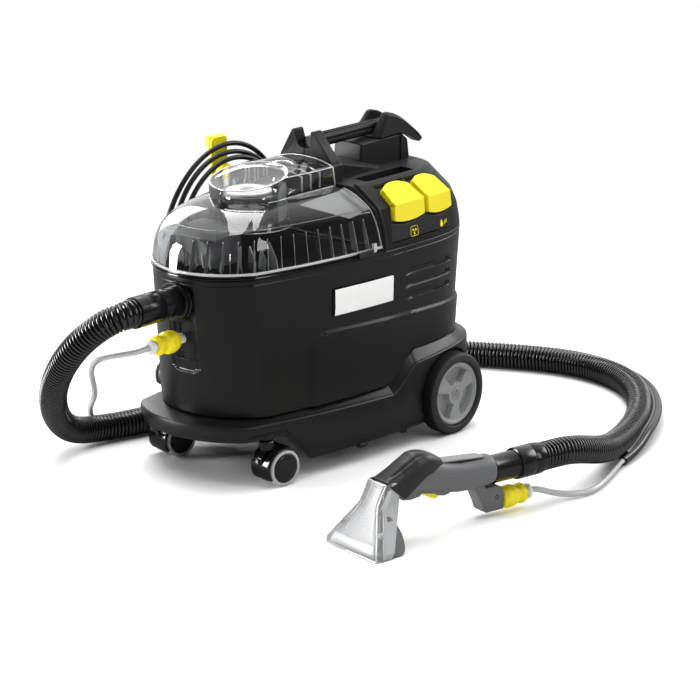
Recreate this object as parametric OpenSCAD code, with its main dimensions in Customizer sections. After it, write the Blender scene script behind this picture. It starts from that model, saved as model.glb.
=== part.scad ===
// Spot extractor: a carpet and upholstery spray cleaner with its suction hose and hand tool.
// Frame: origin on the floor under the middle of the machine, +Z up.
// The hose port faces -Y, and the switches and the plain badge are on the +X side.

/* [Machine body] */
// Front of the rim, measured forward from the origin
rim_front = 242; // [240:1:244]
// Rear of the rim, measured back from the origin
rim_rear = 254; // [252:1:258]
// Half of the body's width at the rim
rim_half_w = 127; // [125:0.5:129]
// Height of the rim on which the clear lid sits
rim_z = 285; // [283:1:287]
// Height of the body's foot over the front of the chassis
foot_z = 93; // [92:1:94]
// Wall of the moulded casings
wall = 3.2; // [2.6:0.2:3.6]

/* [Wheels] */
// Radius of the large rear wheels
wheel_r = 58; // [56:0.5:60]
// Width of a rear wheel
wheel_w = 30; // [26:1:32]
// Distance of the rear axle behind the origin
axle_y = 168; // [166:1:170]
// Radius of the caster wheels
caster_r = 25; // [23:0.5:26]
// Sideways place of a caster's swivel axis
caster_x = 95; // [93:1:97]
// Forward place of a caster's swivel axis
caster_y = 171; // [169:1:173]
// Angle at which both casters stand
caster_yaw = -8; // [-12:1:0]

/* [Hose] */
// Outside diameter of the corrugated suction hose
hose_od = 38; // [36:1:40]
// Bore of the suction hose
hose_id = 31; // [28:1:32]
// Outside diameter of the spray tube
tube_od = 8; // [7:0.5:9]
// Height of the suction port in the front wall
port_z = 252; // [250:1:254]
// Height of the spray coupling in the front wall
coupling_z = 199; // [197:1:201]

/* [Hand tool] */
// Width of the nozzle's mouth
mouth_w = 102; // [98:1:108]
// Angle of the tool about the vertical, from straight back towards +X
tool_yaw = 11.5; // [10:0.5:13]
// Height of the swivelling hose cuff's axis above the floor
cuff_z = 62; // [60:1:64]

/* [Handle] */
// Top of the cradle fins, the machine's highest point
handle_top = 440; // [436:1:444]

/* [Hidden] */

$fn = 48;
hull_fn = 24;
gap = 0.3;
running = 0.06;
big = 900;

// ---------- outlines and lofts ----------

function lerp(a, b, t) = a + (b - a) * t;
function ramp(x, x0, x1, v0, v1) = lerp(v0, v1, max(0, min(1, (x - x0) / (x1 - x0))));

// Half of a plan outline, from the front centre round the +X side to the rear centre.
// The front is an arc that ends at a corner (cx, -cy), then a narrow facet and a convex side
// reach half width hw at y = back, and the rear is a superellipse out to y = rear.
function half_outline(front, cx, cy, facet, hw, back, rear, power) =
    let (
        rise = front - cy,
        arc_r = (cx * cx + rise * rise) / (2 * rise),
        arc_a = asin(cx / arc_r),
        p0 = [cx + facet, -cy + 1.3 * facet],
        p1 = [hw, -60],
        p2 = [hw, back]
    )
    concat(
        [for (k = [0:6]) [arc_r * sin(arc_a * k / 6), -front + arc_r * (1 - cos(arc_a * k / 6))]],
        [for (k = [0:5]) let (t = k / 5) pow(1 - t, 2) * p0 + 2 * t * (1 - t) * p1 + t * t * p2],
        [for (k = [1:8]) let (a = 90 * k / 8)
            [hw * pow(cos(a), 2 / power), back + (rear - back) * pow(sin(a), 2 / power)]]
    );

function mirrored(half) = concat(half, [for (k = [len(half) - 2:-1:1]) [-half[k][0], half[k][1]]]);

// A closed solid through rings of equal length that are symmetric about x = 0. The caps are
// ladders of flat strips, so a cap may bend along y.
module loft(rings) {
    n = len(rings[0]);
    m = len(rings);
    top = (m - 1) * n;
    function wrap(j) = j % n;
    sides = [for (i = [0:m - 2]) for (j = [0:n - 1])
        each [[i * n + j, (i + 1) * n + j, (i + 1) * n + wrap(j + 1)],
              [i * n + j, (i + 1) * n + wrap(j + 1), i * n + wrap(j + 1)]]];
    ladder = [for (j = [0:n / 2 - 1])
        j == 0 ? [0, 1, n - 1]
        : j == n / 2 - 1 ? [j, j + 1, n - j]
        : [j, j + 1, n - j - 1, n - j]];
    upper = [for (f = ladder) [for (k = [len(f) - 1:-1:0]) f[k] + top]];
    polyhedron(points = [for (r = rings) each r], faces = concat(sides, ladder, upper), convexity = 12);
}

// Plan outline of the body at its foot and at its rim, moved in by t
function foot_outline(t) = mirrored(half_outline(rim_front - 20 - t, 88 - 0.8 * t, 180 - 0.6 * t, 7,
    rim_half_w - 5 - t, 100, rim_rear - 16 - t, 3.2));
function rim_outline(t) = mirrored(half_outline(rim_front - t, 82 - 0.8 * t, 196 - 0.6 * t, 7,
    rim_half_w - t, 100, rim_rear - t, 3.2));

// A ring of the body at inset t whose height is a function of y
function body_ring(t, height) =
    let (a = foot_outline(t), b = rim_outline(t))
    [for (j = [0:len(a) - 1])
        let (z = height(a[j][1]), p = lerp(a[j], b[j], (z - foot_z) / (rim_z - foot_z))) [p[0], p[1], z]];
function flat_ring(outline, z) = [for (p = outline) [p[0], p[1], z]];

// Height of the body's underside, which steps up over the motor bay's chassis
step_z = 42;
function foot_at(y) = ramp(y, 50, 92, foot_z, foot_z + step_z);

// The seam between lid and motor cover leans forward: it passes through y = seam_y at the rim
seam_y = 31;
seam_lean = 8.5;
function seam_at(z) = seam_y - (z - rim_z) * tan(seam_lean);

// The half space in front of a plane of constant y, and the two sides of the leaning seam
module in_front_of(y) {
    translate([-big / 2, y - big, -10])
        cube([big, big, big]);
}
module before_seam(t) {
    translate([0, seam_y, rim_z])
        rotate([seam_lean, 0, 0])
            translate([-big / 2, -big - t, -big / 2])
                cube([big, big, big]);
}
module behind_seam(t) {
    translate([0, seam_y, rim_z])
        rotate([seam_lean, 0, 0])
            translate([-big / 2, t, -big / 2])
                cube([big, big, big]);
}

// The front part of the body's own shape, between two heights
module front_block(t, z0, z1, y_end) {
    intersection() {
        loft([body_ring(t, function(y) z0), body_ring(t, function(y) z1)]);
        in_front_of(y_end);
    }
}

module both_sides() {
    children();
    mirror([1, 0, 0])
        children();
}

module along_y(length, r) {
    rotate([-90, 0, 0])
        cylinder(h = length, r = r);
}

module along_x(length, r) {
    rotate([0, 90, 0])
        cylinder(h = length, r = r);
}

// ---------- chassis and running gear ----------

chassis_front = 252;
chassis_half_w = 134;
chassis_rear = 262;
skirt_z = 25;
bumper_z = 68;
arch_x = 116;
arch_r = wheel_r + 4;
wheel_in = 119;
axle_r = 5;
axle_z = wheel_r;
caster_mount_z = 66;

function chassis_outline(t) = mirrored(half_outline(chassis_front - t, 91 - 0.8 * t, 219 - 0.6 * t, 7,
    chassis_half_w - t, 110, chassis_rear - t, 3.4));
function skirt_at(y) = y < 0 ? ramp(y, -148, -106, bumper_z, skirt_z) : ramp(y, 226, 262, skirt_z, 62);
function deck_at(y) = foot_at(y) - 0.5;
function edge_at(y) = y < 50 ? ramp(y, -250, 50, 91, 83) : ramp(y, 50, 92, 83, 118) + ramp(y, 97, 262, 0, 12);
function chassis_ring(t, height) = [for (p = chassis_outline(t)) [p[0], p[1], height(p[1])]];
// The cavity's wall keeps clear of the wheel arches
function cavity_ring(t, height) = [for (p = chassis_outline(t))
    let (limit = ramp(p[1], 84, 98, 140, arch_x - 4)) [max(-limit, min(limit, p[0])), p[1], height(p[1])]];

module caster_place(side) {
    translate([side * caster_x, -caster_y, 0])
        rotate([0, 0, caster_yaw])
            children();
}

module chassis() {
    color([0.06, 0.06, 0.065])
    difference() {
        union() {
            loft([
                cavity_ring(14, function(y) deck_at(y) - 4),
                cavity_ring(6, function(y) skirt_at(y)),
                chassis_ring(3, function(y) skirt_at(y)),
                chassis_ring(0, function(y) skirt_at(y) + 6),
                chassis_ring(0, function(y) edge_at(y) - 4),
                chassis_ring(2.5, function(y) edge_at(y)),
                chassis_ring(13, function(y) deck_at(y))
            ]);
            both_sides() {
                translate([98, axle_y - 14, axle_z - 14])
                    cube([16, 28, 76]);
                translate([caster_x, -caster_y, caster_mount_z])
                    cylinder(h = 23, r = 10);
            }
            for (x = [-60, 0, 60])
                translate([x - 1.5, -232, bumper_z + 2])
                    cube([3, 430, 21]);
            both_sides()
                translate([70, -60, skirt_z])
                    cube([12, 120, 64]);
        }
        both_sides() {
            translate([arch_x, axle_y, axle_z])
                along_x(60, arch_r);
            translate([90, axle_y, axle_z])
                along_x(40, axle_r + gap);
            translate([caster_x, -caster_y, caster_mount_z - 1])
                cylinder(h = 21, r = 5 + running);
        }
    }
}

module rear_axle() {
    color("silver")
        translate([-146, axle_y, axle_z])
            along_x(292, axle_r);
}

module axle_clips() {
    color("dimgray")
        both_sides()
            translate([116.5, axle_y, axle_z])
                difference() {
                    along_x(2, 9);
                    translate([-1, 0, 0])
                        along_x(4, axle_r + running);
                }
}

rim_r = 45;
spoke_count = 3;

// One window between two spokes
module window(depth) {
    half = 41;
    linear_extrude(depth)
        polygon(concat(
            [for (a = [-half:10:half]) 39 * [cos(a), sin(a)]],
            [for (a = [half + 6:-16:-half - 6]) 19 * [cos(a), sin(a)]]));
}

module wheel() {
    translate([wheel_in, axle_y, axle_z])
        rotate([0, 90, 0])
            difference() {
                union() {
                    cylinder(h = wheel_w - 6, r = rim_r - 0.1);
                    translate([0, 0, wheel_w - 6])
                        cylinder(h = 3, r1 = rim_r - 0.1, r2 = rim_r - 3);
                    cylinder(h = wheel_w - 0.5, r = 12);
                }
                for (k = [0:spoke_count - 1])
                    rotate([0, 0, 60 + 360 / spoke_count * k])
                        translate([0, 0, 8])
                            window(wheel_w);
                translate([0, 0, -1])
                    cylinder(h = 29, r = axle_r + running);
            }
}

module wheel_right() {
    color([0.62, 0.63, 0.64])
        wheel();
}

module wheel_left() {
    color([0.62, 0.63, 0.64])
        mirror([1, 0, 0])
            wheel();
}

module tyre() {
    translate([wheel_in, axle_y, axle_z])
        rotate([0, 90, 0])
            rotate_extrude($fn = 72)
                polygon([[rim_r, 1], [rim_r, wheel_w - 2], [wheel_r - 5, wheel_w], [wheel_r - 1, wheel_w - 3],
                    [wheel_r, wheel_w - 7], [wheel_r, 7], [wheel_r - 1, 3], [wheel_r - 5, 0]]);
}

module tyre_right() {
    color([0.12, 0.12, 0.12])
        tyre();
}

module tyre_left() {
    color([0.12, 0.12, 0.12])
        mirror([1, 0, 0])
            tyre();
}

trail = 17;
caster_half = 20;

// A ring sector about x, used for the caster's hood
module hood_sector(r0, r1, from, to, half) {
    outer = [for (a = [from:7:to]) r1 * [cos(a), sin(a)]];
    inner = [for (a = [to:-7:from]) r0 * [cos(a), sin(a)]];
    rotate([90, 0, 90])
        translate([0, 0, -half])
            linear_extrude(2 * half)
                polygon(concat(outer, inner));
}

module caster_fork(side) {
    color([0.05, 0.05, 0.055])
    caster_place(side)
        difference() {
            union() {
                cylinder(h = caster_mount_z + 18, r = 5);
                translate([0, 0, caster_mount_z - 14])
                    cylinder(h = 12, r = 9);
                translate([0, trail, caster_r])
                    hood_sector(caster_r + 1.4, caster_r + 3.6, 72, 205, caster_half - 1);
                translate([-4.5, -8, 14])
                    cube([9, trail + 16, 37]);
            }
            translate([-30, trail, caster_r])
                along_x(60, 3 + gap);
            translate([0, 0, -1])
                cylinder(h = 15, r = 12);
        }
}

module caster_fork_right() { caster_fork(1); }
module caster_fork_left() { caster_fork(-1); }

// Both wheels of one caster: a dark disc that carries a paler tread ring
module caster_wheels(side) {
    color([0.16, 0.16, 0.18])
    caster_place(side)
        translate([0, trail, caster_r])
            both_sides()
                difference() {
                    union() {
                        translate([6, 0, 0])
                            along_x(13, caster_r - 4.1);
                        translate([19, 0, 0])
                            rotate([0, 90, 0])
                                cylinder(h = 1, r1 = caster_r - 5, r2 = caster_r - 7);
                    }
                    translate([5, 0, 0])
                        along_x(11, 3 + running);
                }
}

module caster_wheels_right() { caster_wheels(1); }
module caster_wheels_left() { caster_wheels(-1); }

module caster_treads(side) {
    color([0.72, 0.73, 0.74])
    caster_place(side)
        translate([0, trail, caster_r])
            both_sides()
                translate([6.5, 0, 0])
                    rotate([0, 90, 0])
                        rotate_extrude()
                            polygon([[caster_r - 4, 0], [caster_r - 4, 12.6], [caster_r - 2, 13],
                                [caster_r, 10.5], [caster_r, 1.5], [caster_r - 1.5, 0]]);
}

module caster_treads_right() { caster_treads(1); }
module caster_treads_left() { caster_treads(-1); }

module caster_axle(side) {
    color("silver")
    caster_place(side)
        translate([-15.5, trail, caster_r])
            along_x(31, 3);
}

module caster_axle_right() { caster_axle(1); }
module caster_axle_left() { caster_axle(-1); }

// ---------- body, tanks and lid ----------

seam_z = rim_z - 8;
bulkhead_y = 33;
socket_r = 26;
nose_y = -rim_front + 4.8;
inlet_z = 143;
pump_x = -72;
pump_y = 120;
pump_z = 190;

module body_shell() {
    color([0.07, 0.07, 0.075])
    difference() {
        union() {
            loft([
                body_ring(3, function(y) foot_at(y)),
                body_ring(0, function(y) foot_at(y) + 4),
                body_ring(0, function(y) lerp(foot_at(y), seam_z, 0.5)),
                body_ring(0, function(y) seam_z - 1),
                body_ring(1.2, function(y) seam_z),
                body_ring(0, function(y) seam_z + 1),
                body_ring(0, function(y) rim_z),
                body_ring(wall, function(y) rim_z),
                body_ring(wall, function(y) lerp(foot_at(y), rim_z, 0.5)),
                body_ring(wall, function(y) foot_at(y) + wall)
            ]);
            // bulkhead between the tanks and the motor bay
            intersection() {
                loft([body_ring(2, function(y) foot_z + 1), body_ring(2, function(y) rim_z)]);
                translate([-big / 2, bulkhead_y, foot_z + 1])
                    cube([big, wall, rim_z - foot_z - 1]);
            }
        }
        translate([0, -rim_front - 20, port_z])
            along_y(40, socket_r + gap);
        translate([0, -rim_front - 20, coupling_z])
            along_y(60, 8.2);
        // three air slots low on the switch side, and the same on the other side
        both_sides()
            for (k = [0:2])
                translate([100, 84, 208 + 17.5 * k])
                    cube([60, 92, 8]);
        // the pump's two hoses pass through the bulkhead
        for (z = [inlet_z, coupling_z])
            translate([pump_x, bulkhead_y - 2, z])
                along_y(8, 4 + gap);
    }
}

module fresh_water_tank() {
    color([0.85, 0.87, 0.88])
    difference() {
        front_block(6, foot_z + 4, 186, 31);
        front_block(8.6, foot_z + 6.6, 183.4, 28.4);
        translate([60, -150, 170])
            cylinder(h = 40, r = 28);
        translate([pump_x, 20, inlet_z])
            along_y(20, 2.5);
    }
}

module water_filter() {
    color("white")
        translate([-60, -20, 100])
            difference() {
                union() {
                    cylinder(h = 42, r = 12);
                    cylinder(h = 70, r = 5);
                }
                translate([0, 0, 3])
                    cylinder(h = 80, r = 3);
                translate([0, 0, 3])
                    cylinder(h = 36, r = 10);
            }
}

flange_z = rim_z + gap;

module dirty_water_tank() {
    color([0.2, 0.2, 0.21])
    difference() {
        union() {
            front_block(7.6, 212, flange_z + 1, 30);
            front_block(0.6, flange_z, flange_z + 2.6, 29.8);
        }
        front_block(10.3, 214.8, flange_z + 10, 27.4);
        translate([0, -rim_front - 20, port_z])
            along_y(50, 18);
    }
}

module lid_seal() {
    color([0.03, 0.03, 0.03])
    difference() {
        front_block(1.4, flange_z + 2.7, flange_z + 5.2, 29.4);
        front_block(6.2, flange_z, flange_z + 10, 26.4);
    }
}

lid_z = flange_z + 5.3;
lid_wall = 2.2;
lid_back = seam_y;
dome_y = -98;
dome_r = 53;
dome_top = 393;
dome_tilt = 10;
tunnel_half = 51;
tunnel_top = 403;
seam_gap = 0.5;

// The clear lid's main shape is a stack of shrinking outlines
function lid_outline(front, hw, t) = mirrored(half_outline(front - t, 0.66 * hw - 0.8 * t,
    0.81 * front - 0.6 * t, 7, hw - t, 100, 180, 3.2));
module lid_form(t) {
    intersection() {
        loft([
            flat_ring(lid_outline(rim_front, rim_half_w, t), lid_z - (t > 0 ? 1 : 0)),
            flat_ring(lid_outline(rim_front - 3, rim_half_w - 3, t), 313 - t),
            flat_ring(lid_outline(rim_front - 11, rim_half_w - 8, t), 332 - t),
            flat_ring(lid_outline(rim_front - 28, rim_half_w - 16, t), 346 - t),
            flat_ring(lid_outline(rim_front - 56, rim_half_w - 36, t), 359 - t),
            flat_ring(lid_outline(rim_front - 92, rim_half_w - 58, t), 367 - t)
        ]);
        before_seam(seam_gap + t);
    }
}

module dome_form(t) {
    intersection() {
        translate([0, dome_y, lid_z])
            cylinder(h = 130, r = dome_r - t, $fn = 64);
        translate([0, dome_y, dome_top - t])
            rotate([dome_tilt, 0, 0])
                translate([-big / 2, -big / 2, -big])
                    cube([big, big, big]);
    }
}

// The arched tunnel that leads air from the dome back to the motor cover
module tunnel_form(t, y0, y1, foot) {
    half = tunnel_half - t;
    translate([0, y1, 0])
        rotate([90, 0, 0])
            linear_extrude(y1 - y0)
                polygon([[-half, foot], [-half, tunnel_top - 9 - t], [-half * 0.5, tunnel_top - 2 - t],
                    [0, tunnel_top - t], [half * 0.5, tunnel_top - 2 - t], [half, tunnel_top - 9 - t],
                    [half, foot]]);
}

module clear_lid() {
    color([0.8, 0.85, 0.88, 0.35])
    difference() {
        union() {
            lid_form(0);
            dome_form(0);
            intersection() {
                tunnel_form(0, dome_y + 20, lid_back, 330);
                before_seam(seam_gap);
            }
        }
        lid_form(lid_wall);
        dome_form(lid_wall);
        intersection() {
            tunnel_form(lid_wall, dome_y + 18, lid_back, 326);
            before_seam(seam_gap + lid_wall);
        }
        // air passes out of the lid's rear wall into the motor cover
        translate([0, seam_at(380) - 12, 380])
            along_y(24, 12);
    }
}

module inlet_deflector() {
    color([0.45, 0.46, 0.47])
        translate([-36, -203, 294])
            difference() {
                cube([72, 50, 44]);
                translate([2.5, 2.5, -1])
                    cube([67, 51, 42.5]);
            }
}

cage_r = 31;

module float_cage() {
    color([0.93, 0.93, 0.93])
        translate([0, dome_y, 0])
            difference() {
                union() {
                    translate([0, 0, 324])
                        cylinder(h = 48, r = cage_r - 2.2);
                    translate([0, 0, 373])
                        cylinder(h = 3, r = cage_r + 6);
                    translate([0, 0, 372])
                        cylinder(h = 1.5, r = cage_r - 2.2);
                }
                translate([0, 0, 326.5])
                    cylinder(h = 44, r = cage_r - 5);
                translate([0, 0, 360])
                    cylinder(h = 30, r = 12);
                for (a = [0:45:315])
                    rotate([0, 0, a])
                        translate([14, 0, 320])
                            cylinder(h = 10, r = 3);
            }
}

module filter_sleeve() {
    color([0.55, 0.56, 0.58])
        translate([0, dome_y, 327])
            difference() {
                cylinder(h = 43, r = cage_r);
                translate([0, 0, -1])
                    cylinder(h = 46, r = cage_r - 2);
            }
}

float_r = 16;

module float_ball() {
    color("white")
        translate([0, dome_y, 327 + float_r])
            sphere(r = float_r);
}

// ---------- motor cover, handle and switches ----------

cover_front = seam_at(tunnel_top) - 2;
cover_wall = 3;
hook_y = 24;
hook_z = 356;
shoulder_z = 371;
panel_y0 = 50;
panel_y1 = 183;

function cover_outline(rear, hw, t) = mirrored(half_outline(rim_front - t, 0.66 * hw - 0.8 * t,
    0.81 * rim_front - 0.6 * t, 7, hw - t, 100, rear - t, 3.2));

module cover_form(t) {
    intersection() {
        loft([
            flat_ring(cover_outline(rim_rear, rim_half_w, t), rim_z + gap - (t > 0 ? 5 : 0)),
            flat_ring(cover_outline(rim_rear - 7, rim_half_w - 2, t), 318 - t),
            flat_ring(cover_outline(rim_rear - 20, rim_half_w - 7, t), 342 - t),
            flat_ring(cover_outline(rim_rear - 34, rim_half_w - 40, t), shoulder_z - 3 - t),
            flat_ring(cover_outline(rim_rear - 40, rim_half_w - 46, t), shoulder_z - t)
        ]);
        behind_seam(t);
    }
}

// The recess beside the central spine, where the fingers reach round the grip, grown by t
module cover_pocket(t) {
    translate([0, 152 + t, 0])
        rotate([90, 0, 0])
            linear_extrude(96 + 2 * t)
                polygon([[tunnel_half + 2 - t, 345 - t], [tunnel_half + 14 + t, 345 - t],
                    [tunnel_half + 26 + t, 380], [tunnel_half + 2 - t, 380]]);
}

// The switch panel's bay: a slot cut along x that follows the shoulder
module panel_bay(depth) {
    rotate([90, 0, 0])
        translate([0, 0, -panel_y1])
            linear_extrude(panel_y1 - panel_y0)
                polygon([[140, 293], [rim_half_w - depth - 1, 293], [rim_half_w - depth - 7, 340],
                    [88, shoulder_z - depth - 3], [88, 390], [140, 390]]);
}

module motor_cover() {
    color([0.07, 0.07, 0.075])
    difference() {
        union() {
            difference() {
                union() {
                    cover_form(0);
                    intersection() {
                        tunnel_form(0, cover_front, 40, 350);
                        behind_seam(0);
                    }
                    // spine that runs back under the grip
                    hull() {
                        translate([-tunnel_half + 8, 38, 356])
                            cube([2 * tunnel_half - 16, 2, 44]);
                        translate([-34, 160, 356])
                            cube([68, 2, 12]);
                    }
                    // column under the rear end of the grip
                    hull() {
                        translate([-24, 84, 360])
                            cube([48, 104, 47]);
                        translate([-32, 80, 360])
                            cube([64, 132, 12]);
                    }
                }
                cover_form(cover_wall);
            }
            intersection() {
                cover_form(0);
                both_sides()
                    cover_pocket(cover_wall);
            }
            // bracket that carries the cable hook outside the lid's path
            translate([-131, 34, 304])
                cube([16, 26, hook_z + 14 - 304]);
            translate([-133, hook_y - 14, hook_z - 14])
                cube([4.4, 50, 28]);
        }
        both_sides()
            cover_pocket(0);
        panel_bay(7);
        // opening behind the switch pads for their pivots
        translate([90, panel_y0 + 0.4, 312])
            cube([40, panel_y1 - panel_y0 - 0.8, 50]);
        // air duct down into the motor bay
        translate([0, seam_at(380) - 8, 380])
            along_y(28, 12);
        translate([0, 37, 350])
            cylinder(h = 30, r = 11);
        translate([-150, hook_y, hook_z])
            along_x(60, 6 + running);
        for (y = screw_ys)
            translate([0, y, 390])
                cylinder(h = 40, r = 2.6);
    }
}

module switch_panel() {
    color([0.13, 0.13, 0.15]) {
        rotate([90, 0, 0])
            translate([0, 0, -panel_y1 + 0.5])
                difference() {
                    linear_extrude(panel_y1 - panel_y0 - 1)
                        polygon([[rim_half_w - 3, 294], [rim_half_w - 7.5, 294], [rim_half_w - 13.5, 340],
                            [89, shoulder_z - 9], [89, shoulder_z - 5], [rim_half_w - 10, 342]]);
                    for (z = [4.5, 71.5])
                        translate([86, 312, z])
                            cube([60, 60, 57]);
                }
        // pivot rod on three lugs
        translate([pivot_x, panel_y0 + 1, pivot_z])
            along_y(panel_y1 - panel_y0 - 2, 1.94);
        for (y = [panel_y0 + 0.6, panel_y0 + 63, panel_y1 - 3.6])
            translate([pivot_x - 2, y, pivot_z - 3])
                cube([10, y == panel_y0 + 63 ? 7 : 3, 6]);
    }
}

pivot_x = 109;
pivot_z = 332;
switch_w = 54;

// A rocker pad that turns on the panel's pivot rod; y0 is the pad's front edge
module switch_pad(y0) {
    color([0.93, 0.82, 0.1])
    difference() {
        union() {
            rotate([90, 0, 0])
                translate([0, 0, -y0 - switch_w])
                    linear_extrude(switch_w)
                        polygon([[rim_half_w - 1, 318], [rim_half_w - 3, 345], [96, 368], [93, 364],
                            [pivot_x - 2, 340], [pivot_x + 4, 318]]);
            translate([pivot_x, y0 + 2, pivot_z])
                along_y(switch_w - 4, 6);
        }
        translate([pivot_x, y0 - 1, pivot_z])
            along_y(switch_w + 2, 2);
    }
}

module suction_switch() { switch_pad(panel_y0 + 6); }
module spray_switch() { switch_pad(panel_y0 + 73); }

screw_ys = [150, 182];

// Front cradle: two fins on the cover's front edge, with a trough for the grip between them.
// It leans with the seam; rise(z) is the height along the lean.
function rise(z) = z / cos(seam_lean) + 1.4;
module front_cradle() {
    translate([0, seam_at(0) + 20, 0])
        rotate([90 + seam_lean, 0, 0])
            linear_extrude(19)
                polygon([[-43, rise(392)], [-43, rise(399)], [-19, rise(436)], [-15, rise(438)],
                    [-10, rise(415)], [-6, rise(413)], [6, rise(413)], [10, rise(415)], [15, rise(438)],
                    [19, rise(436)], [43, rise(399)], [43, rise(392)]]);
}

module carry_handle() {
    color([0.05, 0.05, 0.055])
    difference() {
        union() {
            difference() {
                front_cradle();
                tunnel_form(-gap, cover_front - 20, 60, 350);
            }
            // grip bar
            hull() {
                translate([-9, 22, 412])
                    cube([18, 1, 14]);
                translate([-6, 22, 410])
                    cube([12, 1, 18]);
                translate([-9, 184, 413])
                    cube([18, 1, 14]);
                translate([-6, 184, 411])
                    cube([12, 1, 18]);
            }
            // rear cradle fins, swept back
            both_sides()
                rotate([90, 0, 90])
                    translate([0, 0, 10])
                        linear_extrude(16)
                            polygon([[140, 411], [162, handle_top - 1], [167, handle_top], [190, 434], [206, 423],
                                [232, 402], [236, 394], [228, 389], [205, 404], [180, 411]]);
            translate([-20, 142, 407.5])
                cube([40, 56, 9]);
        }
        translate([0, 14, 398])
            cylinder(h = 20, r = 3.5);
        for (y = screw_ys)
            translate([0, y, 400])
                cylinder(h = 14, r = 2.6);
    }
}

module handle_screws() {
    color("silver")
        for (y = screw_ys)
            translate([0, y, 395])
                cylinder(h = 18, r = 2.4);
}

// ---------- motor, fan and pump ----------

motor_x = 34;
motor_y = 150;
motor_z = 142;
motor_r = 64;

module vacuum_motor() {
    color([0.6, 0.6, 0.62])
        translate([motor_x, motor_y, motor_z])
            difference() {
                union() {
                    translate([0, 0, 52])
                        cylinder(h = 46, r = motor_r);
                    cylinder(h = 52.5, r = 42);
                }
                translate([0, 0, 56])
                    cylinder(h = 38, r = motor_r - 3);
                translate([0, 0, 90])
                    cylinder(h = 10, r = 20);
                translate([0, 0, 20])
                    cylinder(h = 40, r = 4 + running);
                for (a = [0:30:330])
                    rotate([0, 0, a])
                        translate([motor_r - 5, 0, 70])
                            along_x(10, 4);
            }
}

module turbine_fan() {
    color("silver")
        translate([motor_x, motor_y, motor_z]) {
            translate([0, 0, 24])
                cylinder(h = 66, r = 4);
            translate([0, 0, 62])
                difference() {
                    cylinder(h = 22, r = 56);
                    translate([0, 0, 3])
                        difference() {
                            cylinder(h = 16, r = 58);
                            translate([0, 0, -1])
                                cylinder(h = 18, r = 22);
                            for (a = [0:40:320])
                                rotate([0, 0, a])
                                    translate([0, -1.2, -1])
                                        cube([70, 2.4, 18]);
                        }
                }
        }
}

module motor_gasket() {
    color([0.1, 0.1, 0.1])
        translate([motor_x, motor_y, motor_z + 98.3])
            difference() {
                cylinder(h = 6, r = motor_r - 6);
                translate([0, 0, -1])
                    cylinder(h = 8, r = 30);
            }
}

module pump() {
    color([0.35, 0.35, 0.38])
        translate([pump_x, pump_y, pump_z])
            difference() {
                union() {
                    along_y(60, 26);
                    translate([-22, -40, -24])
                        cube([44, 41, 50]);
                    translate([-12, -30, -40])
                        cube([24, 20, 20]);
                }
                translate([-18, -36, -12])
                    cube([36, 33, 24]);
                translate([0, -45, 0])
                    along_y(75, 4 + running);
            }
}

module pump_eccentric() {
    color("silver")
        translate([pump_x, pump_y, pump_z]) {
            translate([0, -38, 0])
                along_y(60, 4);
            translate([3, -26, 0])
                along_y(12, 8.5);
        }
}

// A tube swept along points; hollow when r_in is above zero
function unit(v) = v / norm(v);
function tangent(p, i) = unit(p[min(i + 1, len(p) - 1)] - p[max(i - 1, 0)]);
function side_of(t) = unit(cross([0, 0, 1], abs(t[2]) > 0.98 ? [1, 0, 0] : t));
function sweep_ring(p, i, r, n) =
    let (t = tangent(p, i), s = side_of(t), u = cross(t, s))
    [for (k = [0:n - 1]) p[i] + r * (cos(360 * k / n) * s + sin(360 * k / n) * u)];

module sweep(p, r, r_in, n) {
    m = len(p);
    rings = concat(
        [for (i = [0:m - 1]) each sweep_ring(p, i, r, n)],
        r_in > 0 ? [for (i = [m - 1:-1:0]) each sweep_ring(p, i, r_in, n)] : []);
    count = r_in > 0 ? 2 * m : m;
    tube = [for (i = [0:(r_in > 0 ? count - 1 : count - 2)]) for (k = [0:n - 1])
        let (a = i * n, b = ((i + 1) % count) * n, l = (k + 1) % n)
        each [[a + k, a + l, b + l], [a + k, b + l, b + k]]];
    caps = r_in > 0 ? [] : [[for (k = [n - 1:-1:0]) k], [for (k = [0:n - 1]) (m - 1) * n + k]];
    polyhedron(points = rings, faces = concat(tube, caps), convexity = 20);
}

// A smooth curve guided by a list of points (uniform cubic B-spline, steps per span)
function spline(q, steps) =
    let (g = concat([2 * q[0] - q[1]], q, [2 * q[len(q) - 1] - q[len(q) - 2]]))
    concat(
        [for (i = [0:len(g) - 4]) for (k = [0:steps - 1])
            let (t = k / steps)
            (pow(1 - t, 3) * g[i] + (3 * pow(t, 3) - 6 * t * t + 4) * g[i + 1]
                + (-3 * pow(t, 3) + 3 * t * t + 3 * t + 1) * g[i + 2] + pow(t, 3) * g[i + 3]) / 6],
        [q[len(q) - 1]]);

module pump_hoses() {
    color([0.75, 0.76, 0.78]) {
        // pump outlet to the front spray coupling, between the two tanks
        sweep(spline([[pump_x, 79.6, coupling_z], [pump_x, 50, coupling_z], [pump_x, 0, coupling_z],
            [pump_x, -80, coupling_z], [-50, -140, coupling_z], [-14, -180, coupling_z],
            [0, -206, coupling_z], [0, -220, coupling_z]], 4), 4, 2.4, 8);
        // clean water tank to pump inlet
        sweep(spline([[pump_x, 100, 149.4], [pump_x, 100, 146], [pump_x, 99.5, 142.6], [pump_x, 86, inlet_z - 2],
            [pump_x, 60, inlet_z], [pump_x, 31.4, inlet_z]], 4), 4, 2.4, 8);
    }
}

// ---------- badge, cord and cable hook ----------

// Plain white plate that follows the side wall
module badge_plate() {
    color("white")
        intersection() {
            difference() {
                loft([body_ring(-1.6, function(y) 205), body_ring(-1.6, function(y) 262)]);
                loft([body_ring(-gap, function(y) 204), body_ring(-gap, function(y) 263)]);
            }
            translate([60, -60, 214])
                cube([100, 111, 36]);
        }
}

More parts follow.
